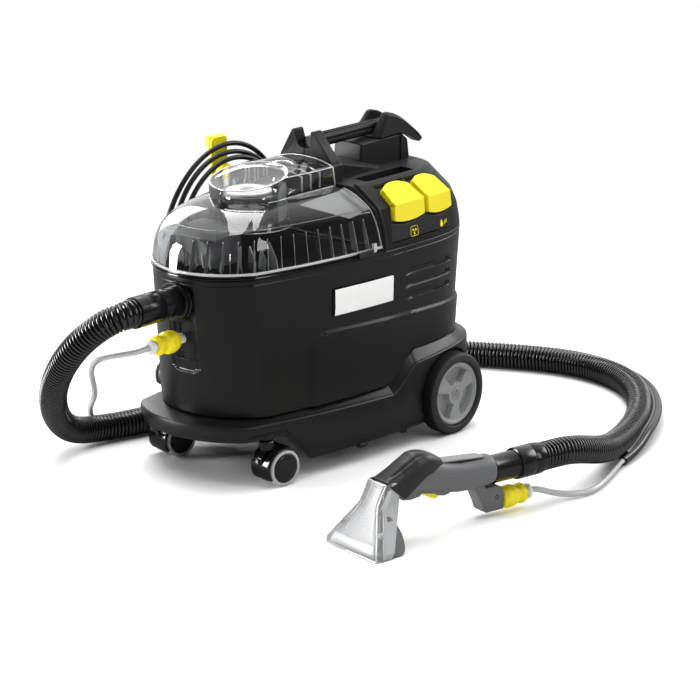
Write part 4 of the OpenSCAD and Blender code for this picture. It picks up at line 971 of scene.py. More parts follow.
wing_outer = [(138, 409), (158, 434), (163, 439.4), (168, 440), (180, 437), (192, 431.5), (204, 423.5),
    (216, 414), (227, 404.5), (235, 396.5), (236, 393.5), (229, 389.5), (218, 396), (205, 403.5),
    (192, 408), (180, 411)]
for sx in (1, -1):
    rings = []
    for x, squeeze in ((10.5, 0.985), (12, 1.0), (16, 1.0), (22, 0.97), (27, 0.90), (28.5, 0.88)):
        ring = []
        for y, z in wing_outer:
            cy, cz = 185, 402
            top = ramp(z, 405, 440, 0, 1)
            reach = x - 7.0 * top * ramp(x, 16, 28.5, 0, 1)
            ring.append((sx * reach, cy + (y - cy) * squeeze, cz + (z - cz) * squeeze))
        rings.append(ring)
    bevelled(loft("rear_wing_%d" % (sx > 0), rings, GRIP, sharp=20), 0.9, 3, 28)
block("wing_floor", (-12, 142, 407.5), (12, 206, 413), GRIP, bevel=1.5)
prism("wing_seat", [(150, 411), (170, 426), (196, 420), (214, 409), (214, 404), (150, 407)], rightward(-11),
    22, GRIP)

# ---------------------------------------------------------------- switch panel and its two pads

def panel_x(z):
    """The switch panel's face at height z."""
    return ramp(z, 294, 342, 124.0, 117.0) if z < 342 else ramp(z, 342, 366, 117.0, 90.0)


front_profile = [(124.2, 294), (120.9, 318), (117.2, 342), (90, 366.2), (88, 361), (112, 338), (118.6, 294)]
panel = prism("switch_plate", front_profile, rearward(50.6), 131.8, PANEL, bevel=0, hides="switch_panel")


# left and right edges of each pad at its foot, its crease and its top
PADS = (("suction_pad", "suction_switch", "suction_rocker", ((58, 121), (55, 117), (55, 107))),
    ("spray_pad", "spray_switch", "spray_rocker", ((129, 179), (125, 173), (117, 163))))


def pad_edges(edges, z):
    """Left and right limits of a pad at height z."""
    if z < 345.5:
        return [ramp(z, 320, 345.5, a, b) for a, b in zip(edges[0], edges[1])]
    return [ramp(z, 345.5, 369.5, a, b) for a, b in zip(edges[1], edges[2])]


def well_outline(edges, gap=2.8):
    """Opening round a pad: a shallow arc along the foot and sides that follow the pad."""
    (l, r), (cl, cr), (tl_, tr) = edges
    foot = [(lerp(l - gap, r + gap, k / 12), 313.2 + 5.5 * (k / 6 - 1) ** 2) for k in range(13)]
    return foot + [(cr + gap, 345), (tr + gap, 370), (tr + gap, 380), (tl_ - gap, 380), (tl_ - gap, 370),
        (cl - gap, 345)]


wells = [prism("well", well_outline(edges), rightward(84), 56, PANEL, None, 0) for _, _, _, edges in PADS]
cut(panel, wells, 30)
bevelled(panel, 0.7, 2, 30)

for name, _, _, edges in PADS:
    outline = well_outline(edges)
    line = [(panel_x(z) - 0.4, y, z) for y, z in outline if z < 366]
    left = [(panel_x(z) - 0.4, pad_edges(edges, z)[0] - 2.8, z) for z in (362, 355, 349)]
    right = [(panel_x(z) - 0.4, pad_edges(edges, z)[1] + 2.8, z) for z in (349, 355, 362)]
    tube(name + "_bezel", left + [line[-1]] + line[:-1] + right, 0.9, PANEL, sides=8)
    # painted shade: a near-black block behind each opening, for the dark recess round the pad
    block(name + "_well", (96, edges[0][0] - 2, 311), (99, edges[0][1] + 2, 345), SEAL_AND_SHADE, bevel=0.5)


def pad(name, node_name, body, edges):
    """Rocker pad: a flat foot with an arc below, a crease, and a facet that leans back to a rounded top."""
    cols, low, high = 24, 7, 9
    front, back = [], []
    for c in range(cols + 1):
        u = c / cols
        bow = (2 * u - 1) ** 2
        col, rear = [], []
        for r in range(low + high + 1):
            if r <= low:
                z = lerp(318.2 + 4.6 * bow, 345.5, r / low)
                x, nx, nz = 124.2 + 1.2 * math.sin(math.pi * 0.5 * r / low), 1.0, 0.05
            else:
                t = (r - low) / high * (1 - 0.24 * bow ** 1.3)
                z, x, nx, nz = lerp(345.5, 369.6, t), lerp(125.4, 97.5, t), 0.66, 0.75
            a, b = pad_edges(edges, z)
            col.append((x, lerp(a, b, u), z))
            rear.append((x - 9 * nx, lerp(a, b, u), z - 9 * nz))
        front.append(col)
        back.append(rear)
    n = low + high + 1
    verts = [p for col in front for p in col] + [p for col in back for p in col]
    off = (cols + 1) * n
    faces = []
    for c in range(cols):
        for r in range(n - 1):
            q = (c * n + r, (c + 1) * n + r, (c + 1) * n + r + 1, c * n + r + 1)
            faces.append(q)
            faces.append(tuple(off + v for v in q[::-1]))
    rim = [c * n for c in range(cols + 1)] + [cols * n + r for r in range(1, n)]
    rim += [c * n + n - 1 for c in range(cols - 1, -1, -1)] + list(range(n - 2, 0, -1))
    for a, b in zip(rim, rim[1:] + rim[:1]):
        faces.append((a, off + a, off + b, b))
    ob = add(name, verts, faces, YELLOW, body, node_name, 24)
    return bevelled(ob, 1.3, 4, 28)


for name, node_name, body, edges in PADS:
    pad(name, node_name, body, edges)


# plain pictograms under the pads: a turning fan and a falling drop

def on_panel(y, z, lift=0.3):
    """A point just off the panel's lower face."""
    return (ramp(z, 294, 342, 124.4, 117.3) + lift, y, z)


def decal(name, loop, y, z, size):
    """A thin raised shape on the panel's front."""
    rings = [[on_panel(y + u * size, z + v * size, d) for u, v in loop] for d in (0.0, 0.5)]
    loft(name, rings, YELLOW, sharp=40, caps="end")


def frame_decal(name, y, z, half_w, half_h):
    """Thin rounded square outline."""
    loop = [(y + u * half_w, z + v * half_h) for u, v in ((-1, -0.8), (-0.8, -1), (0.8, -1), (1, -0.8),
        (1, 0.8), (0.8, 1), (-0.8, 1), (-1, 0.8), (-1, -0.8))]
    tube(name, [on_panel(a, b, 0.2) for a, b in loop], 0.45, YELLOW, sides=6)


for k in range(3):
    a0 = 2.0944 * k
    blade = [(0.12 * math.cos(a0 + 0.2), 0.12 * math.sin(a0 + 0.2))]
    blade += [(r * math.cos(a0 + b), r * math.sin(a0 + b))
        for r, b in ((0.5, 0.0), (0.85, 0.1), (1.0, 0.45), (0.9, 0.8), (0.55, 0.75), (0.2, 0.7))]
    decal("icon_fan_%d" % k, blade, 99, 301.5, 5.2)
frame_decal("icon_fan_frame", 99, 301.5, 7.6, 6.6)
drop = [(0, 1.0), (0.22, 0.55), (0.5, 0.1), (0.58, -0.3), (0.42, -0.7), (0, -0.9), (-0.42, -0.7),
    (-0.58, -0.3), (-0.5, 0.1), (-0.22, 0.55)]
decal("icon_drop", drop, 157, 301.5, 5.6)
for k in range(3):
    decal("icon_ray_%d" % k, [(-0.08, -0.4), (0.08, -0.4), (0.08, 0.5), (-0.08, 0.5)], 163 + 2.4 * k,
        301 + 1.0 * k, 5.6)

# badge: plain white plate with a thin dark border
for name, grow, low, high, y0, y1, mat in (("badge_border", 1.9, 212.6, 251.4, -61.6, 52.6, SEAL_AND_SHADE),
                                           ("badge_face", 3.0, 214.2, 249.8, -59.6, 50.6, BADGE)):
    rows = []
    for z in (low, low + 1.2, lerp(low, high, 0.33), lerp(low, high, 0.66), high - 1.2, high):
        edge_drop = 0.7 if z in (low, high) else 0.0
        ring = [Vector(p) for p in body_ring(-grow + edge_drop, lambda y: z)]
        line = [p for p in ring if p.x > 60 and y0 - 14 < p.y < y1 + 14]
        line = [p for p in line if p.y > -100]
        pts = respace([(p.x, p.y, p.z) for p in line], 1.0)
        pts = [p for p in pts if y0 <= p.y <= y1]
        rows.append([pts[min(len(pts) - 1, round(k * (len(pts) - 1) / 56))] for k in range(57)])
    outer_rows = [[tuple(p) for p in row] for row in rows]
    inner_row = [[(p[0] - 2.2, p[1], p[2]) for p in outer_rows[0]],
        [(p[0] - 2.2, p[1], p[2]) for p in outer_rows[-1]]]
    sheet(name, [inner_row[0]] + outer_rows + [inner_row[1]], mat,
        hides="badge_plate" if mat is BADGE else None, sharp=40)

# ---------------------------------------------------------------- cable hook, cord and plug

HOOK_Y, HOOK_Z = 24, 356
drum("hook_drum", (0, HOOK_Y, HOOK_Z), (-1, 0, 0),
    [(6, 128.9), (6, 133.2), (9.6, 133.6), (9.6, 167), (12, 168.6)], YELLOW, "hook", "cable_hook", 48)
prism("hook_flange",
    [(-16, -8), (-12, -12), (12, -12), (16, -8), (16, 43), (11, 47.5), (-11, 47.5), (-16, 43)],
    lambda u, v, w: (-172.5 + w, HOOK_Y + u, HOOK_Z + v), 5, YELLOW, "hook", 1.4)
prism("hook_lip", [(-172.5, 399), (-182, 399), (-182, 403.4), (-172.5, 404)],
    lambda u, v, w: (u, HOOK_Y - 16 + w, v), 32, YELLOW, "hook", 1.2)
for k, y in enumerate((-16, 12)):
    prism("hook_rib_%d" % k, [(-172.6, 378), (-172.6, 400), (-181, 400), (-181, 396)],
        lambda u, v, w, y=y: (u, HOOK_Y + y + w, v), 4, YELLOW, "hook", 0.6, segments=2)

COIL_END, COIL_TURNS = 262, 3
PLUG = Vector((-161, -92, 117))


def coil_point(a):
    """A point on the cord's coil at angle a; each turn hangs a little farther out."""
    turn = (COIL_END + 360 * COIL_TURNS - a) / 360
    s, c = math.sin(math.radians(a)), math.cos(math.radians(a))
    sag = 2.2 * math.sin(math.radians(3 * a + 40)) * math.sin(math.radians(0.31 * a))
    return (-138 - 8.4 * turn, HOOK_Y + 4 + (104 + 7 * turn + sag) * s,
        245 + 3.3 * turn + (126 + 4 * turn + sag) * c)


cord = spline([(-124, 176, 170), (-132, 172, 176), coil_point(1194), coil_point(1182)], 6)
cord += [Vector(coil_point(a)) for a in range(1170, COIL_END, -5)]
cord += spline([coil_point(COIL_END - 6), PLUG + Vector((0, -6, 62)), PLUG + Vector((0, 0, 24)), PLUG], 8)
tube("cord_run", respace(cord, 4), 3.6, CORD, sides=14, hides="power_cord")
drum("cord_boot", (-122, 176, 170), (-1, -0.25, 0.35),
    [(0, -3), (9, -3), (9, 0), (6.4, 1.5), (5.4, 14), (4.2, 22), (0, 22)], CORD, sides=32)
for k in range(6):
    c = Vector((-122, 176, 170)) + Vector((-1, -0.25, 0.35)).normalized() * (3 + 2.8 * k)
    drum("boot_ring_%d" % k, c, (-1, -0.25, 0.35),
        [(5.6, -0.8), (6.4 - 0.25 * k, -0.5), (6.4 - 0.25 * k, 0.5), (5.6, 0.8)], CORD, sides=32)
drum("plug_body", (PLUG.x, PLUG.y, 0), (0, 0, 1), [(0, 74), (16.6, 74), (18, 75.4), (18, 92), (17, 94),
    (17, 96), (15.6, 98), (12, 104), (8.4, 111), (7, 114), (7, 120), (5, 122), (4.4, 128), (3.7, 130)],
    CORD, hides="mains_plug", sides=56, sharp=34)
for k, a in enumerate(turns(10)):
    x, y = PLUG.x + 17.6 * math.cos(a), PLUG.y + 17.6 * math.sin(a)
    block("plug_grip_%d" % k, (x - 1.2, y - 1.2, 78), (x + 1.2, y + 1.2, 91), CORD, bevel=0.6)
for s in (-1, 1):
    drum("plug_pin_%d" % (s > 0), (PLUG.x, PLUG.y + 9.5 * s, 0), (0, 0, -1),
        [(2.4, -76), (2.4, -56), (1.8, -55), (0, -54.8)], STEEL, sides=28)

# ---------------------------------------------------------------- hose, cuffs and couplings

drum("port_ring", (0, -246, PORT_Z), (0, 1, 0),
    [(17, 3), (17, -0.6), (24.4, -0.8), (26, 0.8), (26, 6), (27.4, 6.6), (27.4, 9)], GLOSS,
    hides="hose_socket", sides=72)
drum("machine_cuff", (0, -320, PORT_Z), (0, 1, 0), [(19.1, 6), (19.1, -0.3), (20.2, -0.6), (21, 0.4),
    (21, 13), (20.6, 13.6), (21, 14.2), (21, 42.6), (20.2, 44), (19.5, 44.4), (19.5, 52), (20.6, 52.6),
    (20.6, 55.4), (19.5, 56), (19.5, 72), (18.8, 73.4), (16.8, 73.6), (16.8, 82)], CUFF,
    hides="machine_hose_cuff", sides=80)

TOOL_AT = Vector((346, -291, 0))
TOOL_YAW = math.radians(11.5)
CUFF_Z, CUFF_BACK, HOSE_Z, CUFF_END_Y = 62, 309, 19.6, -320


def tool_point(s, z, x=0.0):
    """A point of the hand tool: s back along it, z up and x across."""
    c, n = math.cos(TOOL_YAW), math.sin(TOOL_YAW)
    return TOOL_AT + Vector((x * c + s * n, -x * n + s * c, z))


hose_guide = [(0, CUFF_END_Y + y, PORT_Z) for y in (29, 13, -3, -18)]
hose_guide += [(-17, -353, 243), (-50, -364, 216), (-84, -362, 182), (-118, -348, 146), (-152, -324, 108),
    (-188, -284, 62), (-210, -236, 26), (-206, -190, HOSE_Z), (-188, -140, HOSE_Z), (-178, -80, HOSE_Z),
    (-176, 0, HOSE_Z), (-177, 90, HOSE_Z), (-178, 180, HOSE_Z), (-172, 270, HOSE_Z), (-140, 350, HOSE_Z),
    (-90, 405, HOSE_Z), (-28, 442, HOSE_Z), (42, 478, HOSE_Z), (108, 498, HOSE_Z), (184, 492, HOSE_Z),
    (250, 452, HOSE_Z), (304, 390, HOSE_Z), (340, 328, HOSE_Z), (364, 270, HOSE_Z), (385, 214, 24),
    (403, 165, 33), (412, 122, 45), (415, 90, 55)]
hose_guide += [tuple(tool_point(CUFF_BACK + s, CUFF_Z)) for s in (45, 29, 13, -3, -17, -32)]
PITCH = 5.7
wave = 8
path = respace(spline(hose_guide, 24), PITCH / wave)
radii = [15.9 + 3.1 * ease((1 - abs(2 * (i % wave) / wave - 1)) * 1.35) ** 0.7 for i in range(len(path))]
tube("hose_corrugated", path, radii, HOSE, sides=40, hides="suction_hose", sharp=75)

coarse = spline(hose_guide, 3)
SLEEVE_FROM, SLEEVE_TO = 35, 85
held = []
for i in range(SLEEVE_FROM, SLEEVE_TO + 1):
    t = (coarse[min(i + 1, len(coarse) - 1)] - coarse[i - 1]).normalized()
    s = Vector((0, 0, 1)).cross(t).normalized()
    turn = math.radians(ramp(i, SLEEVE_TO - 5, SLEEVE_TO, 0, 50))
    held.append(coarse[i] + 25.4 * (math.cos(turn) * s - math.sin(turn) * t.cross(s)))
onward = (held[-1] - held[-2]).normalized()
inward = (held[1] - held[0]).normalized()
smooth = spline([tuple(p) for p in held], 4)
fixed = [held[0]] + smooth[2:-2] + [held[-1]]
tube("sleeve_strip", respace(fixed, 3.5), 6.0, CUFF, sides=20, hides="hose_sleeve", caps=False)
tube("sleeve_bore", respace(fixed, 8)[1:-1], 4.9, SEAL_AND_SHADE, sides=14, caps=False)
for k, (p, q) in enumerate(((held[-1], onward), (held[0], inward))):
    drum("sleeve_mouth_%d" % k, p, q, [(6.0, -0.6), (6.3, 0), (5.6, 0.5), (4.7, 0.4), (4.7, -4)], GLOSS,
        sides=32, sharp=40)
# web that joins the strip to the hose
web_rows = []
for i in range(0, len(held) - 1):
    c = coarse[SLEEVE_FROM + i]
    d = (held[i] - c).normalized()
    t = (held[i + 1] - held[i]).normalized()
    n = d.cross(t).normalized()
    a, b = c + d * 16.5, held[i] - d * 4
    web_rows.append([tuple(a + n * 4.5), tuple(b + n * 4.4), tuple(b - n * 4.4), tuple(a - n * 4.5)])
loft("sleeve_web", web_rows, HOSE, sharp=30)

SPRAY_FRONT = Vector((0, -RIM_FRONT - 50, COUPLING_Z))
front_run = spline([SPRAY_FRONT + Vector((0, 8, 0)), SPRAY_FRONT - Vector((0, 6, 0)),
    SPRAY_FRONT - Vector((0, 28, 1)), (-22, -334, 194), (-56, -326, 182), (-96, -303, 160),
    (-134, -268, 128), (-164, -232, 97), (-192, -206, 71), (-219, -191, 49), (-228, -180, 28),
    held[0] - 18 * inward, held[0] - 8 * inward], 8)
tail = tool_point(293.2, 20)
back = (tool_point(1, 0) - TOOL_AT).normalized()
rear_run = spline([held[-1] + 8 * onward, held[-1] + 24 * onward + Vector((4, 0, 1)), (440, 112, 8),
    (446, 76, 6), (432, 48, 6), tail + 34 * back + Vector((2, 0, -10)), tail + 13 * back, tail], 8)
tube("tube_front", respace(front_run + [held[0], held[1]], 3), 4.0, TUBE, sides=20, hides="spray_tube")
tube_rear = tube("tube_rear", respace([held[-2], held[-1]] + rear_run, 3), 4.0, TUBE, None, 20)
tube("tube_front_bore", respace(front_run + [held[0], held[1]], 5)[1:-1], 2.4, NATURAL, sides=12)
tube_rear_bore = tube("tube_rear_bore", respace([held[-2], held[-1]] + rear_run, 5)[1:-1], 2.4, NATURAL,
    None, 12)
for ob in (tube_rear, tube_rear_bore):
    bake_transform(ob)

COLLAR_FROM = 10.5
COLLAR = [(7.6, -0.2), (10.4, 0), (11.4, 0.8), (13.2, 2.8), (13.6, 4), (13.6, 7.6), (12.4, 10.4),
    (12, 11.4), (12, 14.6), (12.6, 16), (14.6, 19.4), (15, 20.8), (15, 31), (14.6, 32.4), (13, 37.4),
    (12, 38.8), (9.4, 40), (7.6, 40.2)]


def coupling(prefix, at, out, collar_node, collar_body, core_node, core_body, core_len):
    """Quick coupling: a pale core and a sliding collar with finger grooves; out points to the tube."""
    inward_axis = -out
    drum(prefix + "_collar_ring", at + inward_axis * COLLAR_FROM, inward_axis, COLLAR, YELLOW, collar_body,
        collar_node, 72, 26)
    side = out.orthogonal().normalized()
    for k, a in enumerate(turns(12)):
        d = Matrix.Rotation(a, 3, out) @ side
        c = at + inward_axis * (COLLAR_FROM + 21.5) + d * 14.7
        tube("%s_groove_%d" % (prefix, k), [c, c + inward_axis * 9], 0.75, YELLOW, collar_body, 8)
    drum(prefix + "_core_body", at, inward_axis, [(4.3, 4), (4.3, -0.4), (5.6, -0.6), (8.8, 0.2), (10, 1.4),
        (10, 5.2), (9, 6), (7, 6.2), (7, core_len - 1), (6.4, core_len)], WHITE, core_body, core_node, 56)


coupling("front", Vector((0, -292.5, COUPLING_Z)), Vector((0, -1, 0)), "machine_spray_collar",
    "machine_collar", "machine_spray_core", "machine", 72)
coupling("tool", tool_point(292.5, 20), back, "tool_spray_collar", "tool_collar", "tool_spray_core",
    "hand_tool", 80)

# ---------------------------------------------------------------- tool's cuff

drum("tool_cuff", tool_point(0, CUFF_Z), back, [(15.9, 192), (15.9, 222.4), (17.2, 222.5), (18.5, 223.4),
    (18.7, 225), (18.3, 226.2), (18.3, 263.6), (17.6, 264), (17.6, 265.6), (19.6, 265.9), (20.9, 266.8),
    (21, 268), (21, 289), (20.7, 289.6), (20.7, 290.6), (21, 291.2), (21, 301), (20.4, 306), (19.9, 308.6),
    (19.2, 309.2), (19.1, 303)], CUFF, hides="tool_hose_cuff", sides=88)

# ---------------------------------------------------------------- hand tool

def tl(x, s, z):
    """The same as a plain (x, y, z)."""
    return tuple(tool_point(s, z, x))


def side_prism(name, outline, half, mat, body="hand_tool", bevel=1.2, hides=None, x0=0.0, segments=3):
    """An (s, z) outline pushed through the tool's width, from x0 - half to x0 + half."""
    return prism(name, outline, lambda s, z, w: tl(x0 - half + w, s, z), 2 * half, mat, body, bevel, hides,
        segments)


# grip: one swept form from the neck over the hump to the cuff
stations = [(52, 69, 17.5, 15), (58, 72, 18, 17), (66, 75, 18.4, 18.6), (76, 78, 18.8, 19),
    (88, 80.4, 19.2, 19.4), (100, 81.2, 19.6, 19.8), (112, 79.6, 19.6, 20), (124, 76.4, 19.4, 20),
    (138, 72.4, 19.2, 20), (154, 68.6, 19.2, 20), (168, 66.2, 19.4, 20), (184, 65.2, 19.6, 20),
    (200, 65, 19.8, 20), (214, 65, 19.9, 20), (220, 65, 19.6, 19.7), (222, 65, 18.8, 18.9)]
rings = []
for i, (s, z, half_w, half_h) in enumerate(stations):
    s0, z0 = stations[max(0, i - 1)][:2]
    s1, z1 = stations[min(len(stations) - 1, i + 1)][:2]
    ds, dz = s1 - s0, z1 - z0
    ln = math.hypot(ds, dz)
    us, uz = -dz / ln, ds / ln
    if i < 3:
        us, uz = lerp(-0.80, us, i / 3), lerp(0.60, uz, i / 3)
    power = 2.7 if s < 190 else lerp(2.7, 2.1, ramp(s, 190, 220, 0, 1))
    ring = []
    for a in turns(64):
        c, n = math.cos(a), math.sin(a)
        x = half_w * math.copysign(abs(c) ** (2 / power), c)
        h = half_h * math.copysign(abs(n) ** (2 / power), n)
        ring.append(tl(x, s + us * h, z + uz * h))
    rings.append(ring)
loft("tool_grip", rings, TOOLGREY, "hand_tool", "tool_body", 30)
side_prism("grip_panel", [(136, 91.8), (208, 84.6), (210, 85.4), (208, 86.4), (138, 93.6), (134, 93.2)],
    9.5, GRIP_PANEL, bevel=0.7)
for sx in (1, -1):
    tube("grip_line_%d" % (sx > 0), [tl(sx * 18.9, s, z)
        for s, z in ((120, 82), (136, 77.6), (154, 74), (170, 71.6), (190, 70.6), (212, 70.4))], 0.7,
        TOOLGREY, "hand_tool", 8)
    # cheeks each side of the trigger, and the bulge behind it
    side_prism("trigger_cheek_%d" % (sx > 0), [(66, 64), (72, 56.5), (84, 54.6), (99, 55.6), (103, 59),
        (110, 57.8), (124, 54.4), (131, 50.6), (140, 48.6), (147, 50), (160, 56), (150, 70), (100, 76),
        (76, 74)], 2.9, TOOLGREY, bevel=1.6, x0=sx * 10.6)
side_prism("trigger_rear", [(139, 49.4), (146, 50.4), (158, 56), (152, 66), (144, 66), (140, 58)], 8,
    TOOLGREY, bevel=1.4)
side_prism("trigger_front", [(66, 63), (72, 57), (84, 55.4), (85.6, 58), (84, 70), (74, 74)], 8, TOOLGREY,
    bevel=1.4)

# hump cover: a darker cap with a long crease down each shoulder
rings = []
for i in range(41):
    s = lerp(45.5, 137, i / 40)
    top = through(s, (45.5, 87.4), (60, 96), (75, 104.4), (90, 111))
    low = through(s, (45.5, 82.0), (70, 60.5), (104, 84), (137, 91))
    half = through(s, (45.5, 17.6), (66, 20.2), (100, 21.2))
    if s >= 90:
        top = 113 - 0.0105 * (s - 100) ** 2
    if s >= 100:
        half = 21.2 - 9.2 * ((s - 100) / 37) ** 2
    ring = []
    for shift in (0.0, 2.6):
        row = []
        for k in range(41):
            a = math.pi * (k / 40 - 0.5)
            c, n = math.cos(a), math.sin(a)
            x = (half - shift) * math.copysign(abs(n) ** (2 / 3.0), n)
            z = low + (top - shift - low) * abs(c) ** (2 / 2.6)
            crease = 1.7 * math.exp(-((abs(x) - 0.60 * half) / 1.3) ** 2)
            crease *= ease((s - 50) / 10) * ease((112 - s) / 16)
            row.append((x, s, z - (crease if shift == 0.0 else 0)))
        ring += row if shift == 0.0 else row[::-1]
    rings.append([tl(*p) for p in ring])
loft("hump_cap", rings, TOOLDARK, "hand_tool", "tool_cover", 30)

# flat back of the nozzle

def funnel_ring(z):
    """Half width, front and back of the nozzle's backing at height z."""
    t = ramp(z, 8.4, 59, 0, 1)
    front = lerp(13, 38.1, t) if z < 59 else lerp(38.1, 51, (z - 59) / 26)
    return lerp(51, 18, t), front, lerp(25, 63, ramp(z, 0.4, 59, 0, 1))


def clear_front(z):
    """Half width and front of the clear nozzle at height z."""
    t = ramp(z, 8.4, 59, 0, 1)
    return lerp(51, 18, t), lerp(0, 27.1, t) if z < 59 else lerp(27.1, 41, (z - 59) / 26)


rings = []
for z in (0.4, 2.0, 8.4, 20, 40, 59, 72, 85):
    half, f, b = funnel_ring(z)
    rings.append([tl(half, f, z), tl(half, b, z), tl(-half, b, z), tl(-half, f, z)])
nozzle_back = loft("nozzle_back", rings, NOZZLE_BACK, "hand_tool", sharp=30)
bevelled(nozzle_back, 1.6, 3, 35)

# rounded housing behind the mouth: its ends slope with the nozzle's sides
housing = [(14, 2.4), (42, 0.6), (46.4, 2.6), (49.4, 6), (51.4, 11), (52.2, 17), (52, 24), (50.6, 30),
    (48, 36.5), (44.4, 42.6), (41.6, 46.2), (36, 47.5)]
ends = [[tl(sx * (50.2 - 25 * z / 50.0), s, z) for s, z in housing] for sx in (-1, 1)]
bevelled(loft("jet_housing", ends, TOOLGREY, "hand_tool", sharp=20), 1.8, 4, 40)
drum("jet_tip", tool_point(40, 0.5), (0, 0, 1), [(1.2, 0), (4, 0), (4, 0.5), (6, 0.6), (6, 4)], YELLOW,
    "hand_tool", "spray_jet", 40)

# clear front of the nozzle: a thin shell, thick edges made bright by a painted highlight, a bevelled lip and
# inner ribs
rings = []
for z in (0.5, 3, 8.4, 16, 26, 36, 47, 59, 68, 77, 85):
    half, front = clear_front(z)
    rear = front + lerp(12.4, 10.6, ramp(z, 8.4, 59, 0, 1))
    crown = 1.6
    row = [(half, rear, z), (half, front + 2.4, z), (half - 0.7, front + 0.7, z), (half - 2.4, front, z)]
    row += [(half * u, front - crown * (1 - u * u) * 0.6, z) for u in (0.7, 0.35, 0, -0.35, -0.7)]
    row += [(-half + 2.4, front, z), (-half + 0.7, front + 0.7, z), (-half, front + 2.4, z),
        (-half, rear, z)]
    rings.append([tl(*p) for p in row])
sheet("nozzle_clear", rings, NOZZLE, "hand_tool", "nozzle_window")


def on_front(u, z, lift=0.6):
    """A point on the clear front: u from -1 to 1 across it."""
    half, front = clear_front(z)
    return tl(half * u, front - 0.9 * (1 - u * u) + lift, z)


sides = (1, 8.4, 30, 59, 85)
rears = [(ramp(z, 8.4, 59, 51, 18) - 0.6, ramp(z, 8.4, 59, 12, 37), z) for z in (1, 8.4, 30, 59, 72)]
channel = ((0.62, 24), (0.60, 60), (0.60, 80))
nozzle_edges = (("lip", [on_front(-1 + k / 12, 1.6, 0.4) for k in range(25)], 1.3),
    ("left", [on_front(-0.985, z, 0.8) for z in sides], 1.1),
    ("right", [on_front(0.985, z, 0.8) for z in sides], 1.1),
    ("rear_right", [tl(x, s, z) for x, s, z in rears], 1.3),
    ("rear_left", [tl(-x, s, z) for x, s, z in rears], 1.0),
    ("top", [on_front(-0.96 + 0.16 * k, 84.4, 0.4) for k in range(13)], 0.9),
    ("inner_top",
    [on_front(-0.80 + 0.16 * k, 17 + 2.0 * math.sin(math.pi * k / 10), 2.4) for k in range(11)], 0.9),
    ("inner_left", [on_front(-0.80, 17, 2.4), on_front(-0.88, 4, 2.4)], 0.9),
    ("inner_right", [on_front(0.80, 17, 2.4), on_front(0.88, 4, 2.4)], 0.9),
    ("channel_left", [on_front(-u, z, 4.5) for u, z in channel], 0.6),
    ("channel_right", [on_front(u, z, 4.5) for u, z in channel], 0.8),)
for name, line, radius in nozzle_edges:
    tube("nozzle_edge_" + name, respace(line, 3), radius, CLEAR_PAINTED_HIGHLIGHT, "hand_tool", 10)
# frosted lip panel between the inner lines
rings = [[on_front(u, z, 2.0) for z in (3, 8.4, 16.4)] for u in (-0.84, -0.42, 0, 0.42, 0.84)]
sheet("nozzle_lip_panel", rings, LIP_FROST, "hand_tool")
# grey throat behind the clear front
rings = [[on_front(u, z, 9.5) for z in (10, 30, 59, 82)] for u in (-0.86, -0.4, 0, 0.4, 0.86)]
sheet("nozzle_throat", rings, GREY, "hand_tool")
# latch button on the clear side wall, and the joint's shoulder, both made bright by a painted highlight
for sx in (1, -1):
    drum("nozzle_latch_%d" % (sx > 0), tl(sx * 38, 17, 29), tool_point(0, 0, sx) - TOOL_AT,
        [(2.2, -1), (4.4, -0.6), (4.8, 0.4), (4.2, 1.4), (2.6, 1.6), (2.2, 0.8), (0, 0.7)], CLEAR_PAINTED_HIGHLIGHT,
        "hand_tool", sides=32)
    side_prism("nozzle_shoulder_%d" % (sx > 0),
        [(27, 50), (36, 49), (44, 60), (50, 76), (44, 78), (34, 62)], 1.6, CLEAR_PAINTED_HIGHLIGHT, bevel=0.6,
        x0=sx * 19.2)

# bracket of the spray connector, with its screw
side_prism("spray_bracket", [(188, 56), (204, 22), (207, 13), (212, 9), (240, 9), (241, 10), (241, 31),
    (237, 39), (233, 42), (210, 43), (208, 56)], 10.5, TOOLGREY, bevel=2.2, segments=4)
for sx in (1, -1):
    out = tool_point(0, 0, sx) - TOOL_AT
    drum("bracket_screw_%d" % (sx > 0), tl(sx * 10.4, 229, 27), out,
        [(2.6, 0.2), (2.6, -0.2), (1.9, -0.3), (1.7, -1.6), (0, -1.7)], SEAL_AND_SHADE, "hand_tool", sides=28)
    drum("screw_head_%d" % (sx > 0), tl(sx * 10.3, 229, 27), out,
        [(0, 0.35), (1.1, 0.3), (1.3, 0), (1.3, -1)], STEEL, "hand_tool", sides=24)

side_prism("trigger_lever", [(89, 63.4), (104, 57.6), (116, 51), (126, 45.8), (131, 44.4), (135, 46),
    (137, 49.6), (136.4, 53), (118, 59.5), (95, 68.4)], 6.4, YELLOW, "trigger", 1.6, "trigger", segments=4)
for k in range(3):
    s = 108 + 7 * k
    z = lerp(55.4, 46.4, (s - 108) / 17)
    tube("trigger_ridge_%d" % k, [tl(x, s, z + 0.6) for x in (-5, 0, 5)], 0.9, YELLOW, "trigger", 10)

# return spring between the stem's head and the valve, which shortens as the stem moves in
VALVE_S, VALVE_Z = 150, 57.5
spring_path = [tl(2.6 * math.cos(math.radians(20 * k)), VALVE_S - 7.3 + 6.4 * k / 72,
    VALVE_Z + 2.6 * math.sin(math.radians(20 * k))) for k in range(73)]
spring = tube("return_spring", spring_path, 0.4, STEEL, "hand_tool", 8, "valve_spring")
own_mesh(spring)

# ---------------------------------------------------------------- looks of the CAD nodes that stay

